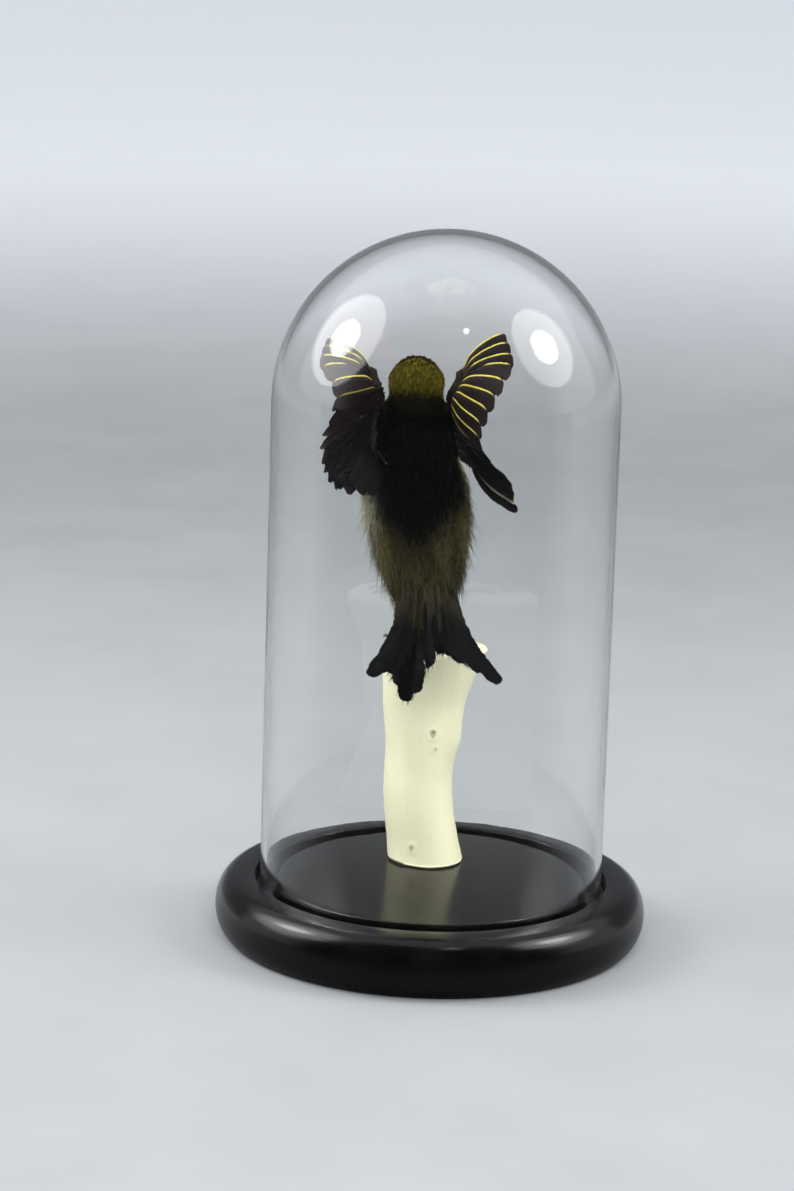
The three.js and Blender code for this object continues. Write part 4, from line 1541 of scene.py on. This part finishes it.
@dataclass
class Tail:
    """Twelve tail feathers in a forked fan, with long soft coverts over their quills."""

    seed: int = 31
    root_left_mm: tuple[float, float, float] = (-11, -1.5, 132)
    root_right_mm: tuple[float, float, float] = (0, -1.5, 132)
    tips_mm: tuple[tuple[float, float, float], ...] = (
        (-22.4, -30, 103.2), (-16.2, -33.5, 103), (-9.8, -37, 94.2), (0, -34, 110), (7.2, -32.5, 107.6),
        (19.2, -30, 101.6),
    )
    curl_mm: float = 13.0
    black: Rgb = (0.0022, 0.0020, 0.0026)
    brown: Rgb = (0.020, 0.016, 0.009)
    olive: Rgb = (0.036, 0.031, 0.014)

    def colour(self, t: float, across: np.ndarray, share: np.ndarray) -> np.ndarray:
        """Glossy black, browner towards the root and the edges."""
        base = np.broadcast_to(self.black, (len(across), 3))
        brown = 0.9 * smooth(share, 0.60, 0.35) + 0.12 * smooth(np.abs(across), 0.6, 1.0)
        return blend(base, self.brown, brown)

    def curl(self, t: np.ndarray) -> np.ndarray:
        """How far the feathers at places across the fan bend outwards, in millimetres."""
        off = np.asarray(t, float) - 0.5
        return self.curl_mm * np.sign(off) * (np.abs(off) - 0.18).clip(0, 0.36) / 0.32

    def build(self, lie: Lie) -> None:
        """Makes the two halves of the fan, then the coverts over and under it."""
        ends = np.array([self.root_left_mm, self.root_right_mm]) * MM
        quills = Curve(np.linspace(ends[0], ends[1], 4))
        tips = Curve(np.array(self.tips_mm) * MM)
        strips = BakeStrips(12)
        fan = FlightFeathers(self.seed, rows=48)
        for low, high, turn in ((0.0, 0.455, 1.0), (0.545, 1.0, -1.0)):
            row = FeatherRow(
                quills=quills, tips=tips, count=6, upper=1.0, shares=np.linspace(low, high, 6),
                vanes=Vanes(
                    outer=3.3, inner=3.3, camber=1.5, tilt=0.16,
                    blunt=0.86, ragged=0.10, splits=8, outer_wear=1.0,
                ),
                bow_of=lambda t: float(self.curl(t)),
                turn_of=lambda t, turn=turn: turn,
            )
            fan.add_row(row, self.colour, strips)
        finish = PlumageFinish(
            "tail_vanes", roughness=0.5, gloss=0.05, barb_count=42.0, streak=0.15, barb_depth=0.00003
        )
        fan.pieces("tail_feathers", finish, "flight_feathers", ["tail"])
        self.build_coverts(quills, tips, lie)

    def build_coverts(self, quills: Curve, tips: Curve, lie: Lie) -> None:
        """Lays long hair-like feathers over the tail's root, and shorter ones under it."""
        rng = np.random.default_rng(self.seed + 1)
        for name, template, count, width in (
            ("tail_coverts", Template.vane(), 900, (0.5, 0.95)),
            ("tail_hairs", Template.vane(4, 3), 1500, (0.08, 0.16)),
        ):
            t = rng.uniform(-0.22, 1.26, count)
            start = rng.uniform(-0.22, 0.40, count)
            inner = rng.uniform(0.02, 0.98, count)
            frayed = (rng.random(count) < 0.25) & (width[1] < 0.5)
            start = np.where(frayed, rng.uniform(0.84, 0.95, count), start)
            t = np.where(frayed, inner, t)
            over = np.where(rng.random(count) < 0.7, 1.0, -1.0)
            root, tip = quills.at(t), tips.at(0.5 + 0.8 * (t - 0.5))
            run = tip - root
            along = unit(run + np.array((1.0, 0, 0)) * rng.normal(0, 0.05, count)[:, None] * MM * 30)
            normal = unit(np.cross(along, np.array((1.0, 0.0, 0.0))))
            near_body = 1.8 * (0.45 - start).clip(0, 0.45) / 0.45
            height = over * (0.7 + near_body * rng.uniform(0.5, 1.0, count)) * MM
            rings = template.rings
            length = rng.uniform(11, 19, count) * MM
            length = length * np.where(over > 0, 1.0, 0.7) * np.where(frayed, 0.3, 1.0)
            height = np.where(frayed, 0.3 * MM * over, height)
            share = start[:, None] + (length / np.linalg.norm(run, axis=1))[:, None] * rings[None]
            spine = (root + run * start[:, None] + normal * height[:, None])[:, None, :]
            spine = spine + along[:, None, :] * (length[:, None] * rings[None])[..., None]
            rise = 1.5 * MM * np.sin(math.pi * share.clip(0, 1)) - height[:, None] * 0.6 * rings[None]
            normals = np.repeat(normal[:, None, :], len(rings), 1)
            spine = spine + normals * rise[..., None]
            spine[..., 0] += self.curl(t)[:, None] * MM * (share**3 - share) * (share > 0)
            black = (0.75 * smooth(start, 0.15, 0.4) + 0.6 * (rng.random(count) < 0.3) + frayed).clip(0, 1)
            shades = blend(np.broadcast_to(self.olive, (count, 3)), self.black, black)
            shades = shades * rng.normal(1, 0.25, count).clip(0.5, 1.7)[:, None]
            coat = Coat(template)
            half = rng.uniform(*width, count) * MM
            outward = normals * over[:, None, None]
            coat.add_feathers(spine, outward, half, HALF_THICK, shades, lie.unwrap(root), 0.4)
            finish = PlumageFinish("tail_covert_plumage", barb_count=60.0, streak=0.3)
            coat.piece(name, finish, "flight_feathers")


# ---------------------------------------------------------------- bill, eyes and legs


@dataclass(frozen=True)
class Mandible:
    """Half of the bill, from inside the face to the tip, in millimetres."""

    name: str
    upper: bool
    ys: tuple[float, ...]
    edge: tuple[float, ...]
    width: tuple[float, ...]
    height: tuple[float, ...]

    def build(self, finish: Finish) -> None:
        """Shapes a ball into a ridge over a flat cutting edge."""
        sizes = Curve(np.array([self.edge, self.width, self.height]).T)
        run = Curve(np.array([self.ys, self.ys, self.ys]).T)
        sign = 1 if self.upper else -1

        def place(p: Vector) -> Vector:
            """The ball's poles become the bill's root and tip."""
            share = (p.z + 1) / 2
            edge, width, height = sizes.at([share])[0]
            y = run.at([share])[0][0]
            radius = math.sqrt(max(1 - p.z * p.z, 0)) ** 0.45
            angle = math.atan2(p.y, p.x)
            bulge = math.sin(angle)
            rise = height * abs(bulge) ** 1.15 if bulge > 0 else -0.18 * height * abs(bulge)
            across = BODY_MIDDLE_MM - 0.1 + width * math.cos(angle) * radius
            return Vector(mm(across, y, edge + sign * rise * radius))

        piece = object_of(reshape(ball(28, 24), place), self.name)
        finished(piece, finish, MOUNT_BODY, [self.name])


@dataclass
class Face:
    """The bill, and the glass eyes in their rings of bare skin."""

    eye_mm: tuple[float, float, float] = (-2.9, 27.5, 193)
    eye_radius_mm: float = 2.45
    lid_mm: float = 0.32

    def build(self) -> None:
        """Makes the bill and both eyes."""
        dark, red = (0.05, 0.012, 0.008), (0.55, 0.045, 0.018)
        bill = HornFinish("bill_horn", root=dark, tip=red, from_mm=34, to_mm=40)
        Mandible(
            "bill_upper", True, (31, 36, 41, 44.5, 46.6), (190.1, 189.9, 189.5, 188.9, 188.2),
            (3.0, 2.6, 1.8, 1.0, 0.35), (3.6, 3.3, 2.3, 1.4, 0.5),
        ).build(bill)
        Mandible(
            "bill_lower", False, (31, 36, 41, 44, 45.6), (189.8, 189.6, 189.2, 188.7, 188.3),
            (2.8, 2.4, 1.6, 0.9, 0.35), (2.6, 2.2, 1.5, 0.9, 0.35),
        ).build(bill)
        for side, sign in ((Side.RIGHT, 1.0), (Side.LEFT, -1.0)):
            self.build_eye(side, sign)

    def build_eye(self, side: Side, sign: float) -> None:
        """Makes one glass eye in its ring of bare skin."""
        centre = side.carried(mm(*self.eye_mm))
        eye = ball(24, 32)
        reshape(eye, lambda p: Vector(centre) + p * self.eye_radius_mm * MM)
        finish = EyeFinish(f"glass_eye_{side.value}", tuple(centre / MM), sign)
        piece = object_of(eye, f"glass_eye_{side.value}")
        finished(piece, finish, MOUNT_BODY, [f"eye_{side.value}"])
        axis = Vector(unit(np.array((0.93 * sign, 0.36, 0.05))))
        across = axis.orthogonal().normalized()
        ring = bmesh.new()
        rim = Vector(centre) + axis * 0.62 * self.eye_radius_mm * MM
        radius = 0.78 * self.eye_radius_mm * MM
        bmesh.ops.create_circle(ring, cap_ends=False, segments=10, radius=self.lid_mm * MM)
        up = axis.cross(across)
        reshape(ring, lambda p: rim + across * (radius + p.x) + axis * p.y)
        bmesh.ops.spin(
            ring, geom=ring.verts[:] + ring.edges[:], cent=rim, axis=axis,
            angle=math.tau, steps=40, use_merge=True,
        )
        reshape(ring, lambda p: rim + (p - rim) - up * (p - rim).dot(up) * 0.12)
        lid = object_of(ring, f"eyelid_{side.value}")
        bare = ScuteFinish("eyelid", pale=(0.40, 0.36, 0.20), dark=(0.2, 0.17, 0.09))
        finished(lid, bare, MOUNT_BODY)


@dataclass(frozen=True)
class Toe:
    """One toe: its angle from straight ahead, its length and its claw's length, in millimetres."""

    turn: float
    length: float
    claw: float


@dataclass
class Leg:
    """A shank with its plates, four jointed toes and their claws."""

    side: Side
    sign: float
    middle_mm: float = -5.8
    stance_mm: float = 7.8
    sole_mm: float = 15.5
    floor_mm: float = 100.6
    toes: tuple[Toe, ...] = (
        Toe(0.5, 8.5, 3.0), Toe(0.0, 11.0, 3.2), Toe(-0.5, 8.5, 3.0), Toe(math.pi, 7.0, 4.4),
    )

    def limb(
        self, bm: bmesh.types.BMesh, points: Sequence[np.ndarray], radii: Sequence[float], plates: int
    ) -> None:
        """Adds a tapering limb ringed with plates.

        Args:
            bm: Where to add it.
            points: Its middle line, in metres.
            radii: Its radius at each point, in metres.
            plates: How many plates ring it.
        """
        line = Curve(np.array(points))
        sizes = Curve(np.array([[r, r, r] for r in radii]))
        steps = 6 * plates
        made = ball(steps, 14)
        shares = np.array([(v.co.z + 1) / 2 for v in made.verts])
        even = np.arccos(np.clip(1 - 2 * shares, -1, 1)) / math.pi
        centres, sizes_at, slopes = line.at(even), sizes.at(even)[:, 0], unit(line.slope(even))
        for index, vert in enumerate(made.verts):
            along = Vector(slopes[index])
            across = along.cross(Vector((0.3, 0.1, 1.0))).normalized()
            out = across.cross(along)
            wave = 1 + 0.09 * abs(math.sin(math.pi * plates * even[index])) ** 0.5
            ends = min(1.0, math.sqrt(max(math.sin(math.pi * even[index]), 0.0)) * 2.2)
            size = sizes_at[index] * wave * ends
            spoke = Vector((vert.co.x, vert.co.y, 0))
            spoke = spoke.normalized() if spoke.length > 1e-6 else spoke
            vert.co = Vector(centres[index]) + (across * spoke.x + out * spoke.y) * size
        pour(made, bm)

    def toe_point(self, toe: Toe, reach: float, lift: float = 0.0) -> np.ndarray:
        """A place on a toe's line, in metres."""
        x = self.middle_mm + self.sign * self.stance_mm
        aside, ahead = math.sin(toe.turn) * reach, math.cos(toe.turn) * reach
        return mm(x + aside, self.sole_mm + ahead, self.floor_mm + lift)

    def build(self) -> None:
        """Makes the leg and its claws."""
        x = self.middle_mm + self.sign * self.stance_mm
        leg = bmesh.new()
        sole = mm(x, self.sole_mm - 0.2, self.floor_mm + 0.5)
        self.limb(leg, [mm(x, 6.0, 122), mm(x, 10.8, 111), sole], [1.25 * MM, 0.95 * MM, 1.15 * MM], 12)
        for toe in self.toes:
            joints = [self.toe_point(toe, -1.6, 0.5), self.toe_point(toe, 0.35 * toe.length, 0.55),
                      self.toe_point(toe, 0.7 * toe.length, 0.25), self.toe_point(toe, toe.length + 0.3)]
            self.limb(leg, joints, [1.1 * MM, 0.95 * MM, 0.85 * MM, 0.7 * MM], 7)
        piece = object_of(leg, f"leg_{self.side.value}")
        replaced = [f"shank_{self.side.value}", f"foot_{self.side.value}"]
        finished(piece, ScuteFinish("leg_scutes"), MOUNT_BODY, replaced)
        self.build_claws()

    def build_claws(self) -> None:
        """Makes the four claws as one piece, each a curved tapering horn."""
        claws = bmesh.new()
        for toe in self.toes:
            claw_line = ((-0.2, 0.1), (0.45 * toe.claw, 0.75), (0.85 * toe.claw, 0.2), (toe.claw, -0.75))
            hook = [self.toe_point(toe, toe.length + beyond, lift) for beyond, lift in claw_line]
            self.limb(claws, hook, [0.62 * MM, 0.5 * MM, 0.32 * MM, 0.08 * MM], 1)
        piece = object_of(claws, f"claws_{self.side.value}")
        finish = HornFinish("claw_horn", root=(0.16, 0.10, 0.05), tip=(0.05, 0.03, 0.02), from_mm=5, to_mm=32)
        replaced = [f"claw_{self.side.value}_{i}" for i in range(1, len(self.toes) + 1)]
        finished(piece, finish, MOUNT_BODY, replaced)


# ---------------------------------------------------------------- the mount


@dataclass
class Stump:
    """The peeled branch that the bird stands on."""

    sections_mm: tuple[tuple[float, float, float, float, float], ...] = (
        (21.1, -1.6, 21.8, 13.7, 13.4), (28.1, -3.0, 21.5, 13.0, 12.8), (37.1, -4.6, 21.0, 12.6, 12.4),
        (51.1, -5.3, 20.0, 12.4, 12.2), (61.1, -5.2, 19.5, 12.6, 12.4), (71.1, -4.4, 19.2, 14.0, 12.8),
        (81.1, -4.2, 19.0, 15.1, 13.2), (90.1, -3.2, 18.8, 16.7, 13.8), (99.5, -0.9, 18.6, 19.2, 14.4),
    )
    evened_mm: float = 3.0
    edge_mm: float = 0.7
    finish: PeeledWoodFinish = field(default_factory=lambda: PeeledWoodFinish("peeled_branch"))
    boss_mm: tuple[float, float, float] = (9.5, 17.0, 65.0)
    boss_reach_mm: float = 5.0
    boss_height_mm: float = 1.3

    def section(self, height: float) -> np.ndarray:
        """The middle's x and y and the half widths at a height, all in millimetres."""
        table = np.array(self.sections_mm).T
        near = height + np.linspace(-self.evened_mm, self.evened_mm, 5)
        return np.array([np.interp(near, table[0], row).mean() for row in table[1:]])

    def around(self, p: Vector) -> Vector:
        """Carries a unit cylinder's place to the branch, which is a little three-cornered."""
        foot, top = self.sections_mm[0][0], self.sections_mm[-1][0]
        share = p.z + 0.5
        x, y, half_x, half_y = self.section(foot + share * (top - foot))
        angle = math.atan2(p.x, -p.y)
        swell = 1 + 0.03 * math.sin(2 * angle + 1) + 0.02 * math.sin(3 * angle + 4 * share)
        place = (x + p.x * half_x * swell, y + p.y * half_y * swell, foot + share * (top - foot))
        return Vector(place) * MM

    def build(self) -> None:
        """Lofts the branch, eases its rims, then raises the knots and the flutes of the wood."""
        bm = bmesh.new()
        bmesh.ops.create_cone(bm, cap_ends=True, segments=120, radius1=1, radius2=1, depth=1)
        upright = [e for e in bm.edges if abs(e.verts[0].co.z - e.verts[1].co.z) > 0.5]
        bmesh.ops.subdivide_edges(bm, edges=upright, cuts=150, use_grid_fill=True)
        reshape(bm, self.around)
        rims = [e for e in bm.edges if len({len(f.verts) > 4 for f in e.link_faces}) == 2]
        bmesh.ops.bevel(
            bm, geom=rims, offset=self.edge_mm * MM, segments=3, affect="EDGES", profile=0.5, material=-1
        )
        bm.normal_update()
        for vert in bm.verts:
            vert.co += vert.normal * self.relief(vert.co, vert.normal)
        finished(object_of(bm, "branch_stump"), self.finish, MOUNT_BODY, ["stump"])

    def relief(self, place: Vector, normal: Vector) -> float:
        """How far the wood stands out or in at a place."""
        side = 1 - abs(normal.z)
        flutes = 0.05 * math.sin(place.x / MM * 1.1 + 0.4 * math.sin(place.z / MM * 0.12)) * MM
        swells = 0.22 * math.sin(place.z / MM * 0.21 + place.x / MM * 0.12) * MM
        rise = (flutes + swells) * side
        for x, y, z, radius in self.finish.knots_mm:
            gap = (place - Vector(mm(x, y, z))).length / (radius * MM)
            ridge, groove = math.exp(-((gap - 1.2) ** 2) * 2.5), math.exp(-(gap**2) * 2.5)
            rise += (0.5 * ridge - 0.7 * groove) * 0.5 * MM * side
        boss = (place - Vector(mm(*self.boss_mm))).length / (self.boss_reach_mm * MM)
        return rise + self.boss_height_mm * MM * math.exp(-boss * boss) * side


@dataclass
class Base:
    """The turned base: a rounded edge, a flat rim, the dome's groove and a raised middle."""

    groove_inner_mm: float = 53.2
    groove_outer_mm: float = 61.2
    groove_depth_mm: float = 5.0
    edge_mm: float = 0.7
    steps: int = 180

    def build(self) -> None:
        """Spins the profile, with every edge a little rounded."""
        low, high = (np.array(corner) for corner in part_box("base"))
        radius, height = high[0], high[2] - low[2]
        soft, inner, outer = self.edge_mm * MM, self.groove_inner_mm * MM, self.groove_outer_mm * MM
        floor = height - self.groove_depth_mm * MM
        bulge = self.bulge(radius, height)
        profile = [(0.0, 0.0), *bulge]
        profile += arc((outer + soft, height - soft), soft, 90, 180, 5)
        profile += arc((outer - soft, floor + soft), soft, 0, -90, 4)
        profile += arc((inner + soft, floor + soft), soft, 270, 180, 4)
        profile += arc((inner - soft, height - soft), soft, 0, 90, 5)
        profile.append((0.0, height))
        base = turned("turned_base", profile, self.steps)
        finished(base, EbonisedFinish("ebonised_wood"), MOUNT_BODY, ["base"])

    @staticmethod
    def bulge(radius: float, height: float) -> list[tuple[float, float]]:
        """The rounded edge, from the underside up to the rim."""
        ends = ((-5.5, 0.0), (1.6, 2.5), (2.4, -2.5), (-6.5, 0.0))
        corners = [(radius + ends[0][0] * MM, 0.0), (radius + ends[1][0] * MM, ends[1][1] * MM),
                   (radius + ends[2][0] * MM, height + ends[2][1] * MM), (radius + ends[3][0] * MM, height)]
        found = []
        for t in np.linspace(0, 1, 29):
            weights = ((1 - t) ** 3, 3 * t * (1 - t) ** 2, 3 * t * t * (1 - t), t**3)
            found.append(tuple(sum(w * c[k] for w, c in zip(weights, corners)) for k in range(2)))
        return found


@dataclass
class Dome:
    """The blown glass dome, with its ground foot in the groove."""

    wall_mm: float = 2.0
    steps: int = 144

    def build(self) -> None:
        """Spins the wall from its foot to the crown and back."""
        low, high = (np.array(corner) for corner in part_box("dome"))
        radius, foot, top = high[0], low[2], high[2]
        wall = self.wall_mm * MM
        centre = top - radius
        lip = wall / 2
        profile = arc((radius - lip, foot + lip), lip, 180, 360, 8)
        profile += [(radius, foot + lip + (centre - foot - lip) * t) for t in np.linspace(0.05, 0.95, 18)]
        profile += arc((0.0, centre), radius, 0, 90, 40)
        profile += arc((0.0, centre), radius - wall, 90, 0, 40)
        height = centre - foot - lip
        profile += [(radius - wall, foot + lip + height * t) for t in np.linspace(0.95, 0.05, 18)]
        profile = [(0.0 if r < 1e-9 else r, z) for r, z in profile]
        dome = turned("glass_dome", profile, self.steps)
        finished(dome, GlassFinish("clear_glass"), DOME_BODY, ["dome"])


# ---------------------------------------------------------------- the studio


@dataclass(frozen=True)
class Umbrella:
    """A lamp in a white umbrella: a wide soft disc with a bright middle."""

    name: str
    towards: tuple[float, float, float]
    distance: float
    radius: float
    core_radius: float
    glow: float
    core_glow: float
    mirrored: bool = True

    def build(self, target: Vector) -> None:
        """Hangs the disc and its bright middle, both turned to the target."""
        for part, radius, glow, nearer in (
            ("soft", self.radius, self.glow, 0.0), ("core", self.core_radius, self.core_glow, 0.02),
        ):
            lamp = bpy.data.lights.new(f"{self.name}_{part}", "AREA")
            lamp.shape = "DISK"
            lamp.size = 2 * radius
            lamp.energy = glow * math.pi**2 * radius**2
            obj = bpy.data.objects.new(lamp.name, lamp)
            bpy.context.scene.collection.objects.link(obj)
            direction = Vector(self.towards).normalized()
            obj.location = target + direction * (self.distance - nearer)
            obj.rotation_euler = (-direction).to_track_quat("-Z", "Y").to_euler()
            obj.visible_glossy = obj.visible_transmission = self.mirrored


@dataclass
class Studio:
    """A pale sweep, two umbrellas at the sides, a soft room and the camera."""

    camera_mm: tuple[float, float, float] = (-14.77, -1454.92, 486.67)
    pitch_down: float = 14.0826
    roll: float = 1.7797
    lens: float = 131.63
    room: Rgb = (0.60, 0.62, 0.65)
    dark_room: float = 0.05
    lit_wall: float = 0.95
    fill: float = 1.45
    sweep_half_width: float = 8.0
    sweep_near_end: float = -8.0
    sweep_length: float = 15.4
    sweep_start: float = 3.2
    sweep_radius: float = 1.0
    umbrellas: tuple[Umbrella, ...] = (
        Umbrella("left_umbrella", (-0.842, 0.015, 0.54), 0.95, 0.43, 0.16, 2.4, 8.0),
        Umbrella("right_umbrella", (0.82, -0.10, 0.563), 1.10, 0.42, 0.17, 2.4, 8.0),
        Umbrella("ceiling_lamp", (0.169, -0.483, 0.859), 1.20, 0.035, 0.02, 12.0, 30.0),
        Umbrella("front_fill", (0.05, -0.86, 0.50), 1.70, 0.50, 0.30, 7.0, 1.0, mirrored=False),
    )

    def build(self) -> None:
        """Sets everything up."""
        self.build_sweep()
        for umbrella in self.umbrellas:
            umbrella.build(Vector((0, 0, 0.17)))
        world = bpy.data.worlds.new("soft_room")
        world.use_nodes = True
        nodes = Nodes(world.node_tree)
        path = nodes.add("ShaderNodeLightPath").outputs
        fill = nodes.maths("MULTIPLY_ADD", path["Is Diffuse Ray"], self.fill - 1.0, 1.0)
        mirrored_ray = nodes.maths("MINIMUM", path["Glossy Depth"], 1.0)
        towards = nodes.parts(nodes.add("ShaderNodeTexCoord").outputs["Generated"])
        behind = nodes.ramp(towards["Y"], -0.45, -0.05)
        above = nodes.ramp(towards["Z"], 0.90, 0.98)
        walls = nodes.maths("MAXIMUM", behind, above)
        lit = nodes.maths("MULTIPLY_ADD", walls, self.lit_wall, self.dark_room)
        lost = nodes.maths("MULTIPLY", mirrored_ray, nodes.maths("SUBTRACT", 1.0, lit))
        kept = nodes.maths("SUBTRACT", 1.0, lost)
        strength = nodes.maths("MULTIPLY", fill, kept)
        glow = nodes.add("ShaderNodeBackground", {"Color": (*self.room, 1), "Strength": strength})
        nodes.add("ShaderNodeOutputWorld", {"Surface": glow.outputs[0]})
        scene = bpy.context.scene
        scene.world = world
        scene.view_settings.view_transform = "Standard"
        scene.view_settings.look = "None"
        self.build_camera()

    def build_sweep(self) -> None:
        """Makes the floor that curves up into a backdrop."""
        bm = bmesh.new()
        bmesh.ops.create_grid(bm, x_segments=4, y_segments=120, size=1)
        start, radius = self.sweep_start, self.sweep_radius
        quarter = radius * math.pi / 2

        def place(p: Vector) -> Vector:
            """Runs the sheet along the floor, round the bend and up."""
            run = self.sweep_near_end + (p.y + 1) * self.sweep_length / 2
            if run < start:
                return Vector((self.sweep_half_width * p.x, run, 0))
            angle = min((run - start) / radius, math.pi / 2)
            rise = max(0.0, run - start - quarter)
            height = radius * (1 - math.cos(angle)) + rise
            return Vector((self.sweep_half_width * p.x, start + radius * math.sin(angle), height))

        reshape(bm, place)
        floor = object_of(bm, "studio_sweep", outward=False)
        floor.data.materials.append(StudioPaperFinish("studio_paper").material())

    def build_camera(self) -> None:
        """Sets the camera by its measured place and angles."""
        data = bpy.data.cameras.new("camera")
        data.sensor_width = 36.0
        data.lens = self.lens
        data.clip_start, data.clip_end = 0.05, 30.0
        camera = bpy.data.objects.new("camera", data)
        bpy.context.scene.collection.objects.link(camera)
        camera.location = mm(*self.camera_mm)
        camera.rotation_mode = "XYZ"
        tilt = math.radians(90 - self.pitch_down)
        turn = Vector((0, 0, 1))
        matrix = Matrix.Rotation(tilt, 4, "X") @ Matrix.Rotation(math.radians(self.roll), 4, turn)
        camera.rotation_euler = matrix.to_euler("XYZ")
        bpy.context.scene.camera = camera


RIGHT_TIPS_MM = (
    (18, -22, 217.4), (20.5, -33, 211.2), (17.2, -35, 203), (13.4, -32, 193.8), (10.8, -26.5, 184.2),
    (14.6, -21, 174.6), (21.6, -17, 167), (24.3, -12, 157.7),
)
LEFT_TIPS_MM = (
    (-39.8, -22, 213.8), (-41.4, -32, 208.6), (-37, -35, 200.6), (-37, -32, 191.6), (-40, -26.5, 182.6),
    (-39.9, -22, 173), (-36, -17, 165), (-26.4, -12, 162.4),
)


def main() -> None:
    """Builds the object from the ground up, then its studio."""
    logging.basicConfig(level=logging.INFO, format="%(name)s: %(message)s")
    Base().build()
    Stump().build()
    plumage = Plumage()
    skin = Skin().build(plumage)
    lie = Lie()
    BodyCoat(plumage, lie, skin).build()
    Wing(Side.LEFT, seed=21, tips_mm=LEFT_TIPS_MM, bright_until=0.66).build()
    Wing(Side.RIGHT, seed=23, tips_mm=RIGHT_TIPS_MM).build()
    Tail().build(lie)
    Face().build()
    for side, sign in ((Side.LEFT, -1.0), (Side.RIGHT, 1.0)):
        Leg(side, sign).build()
    Dome().build()
    Studio().build()


if __name__ == "__main__":
    main()
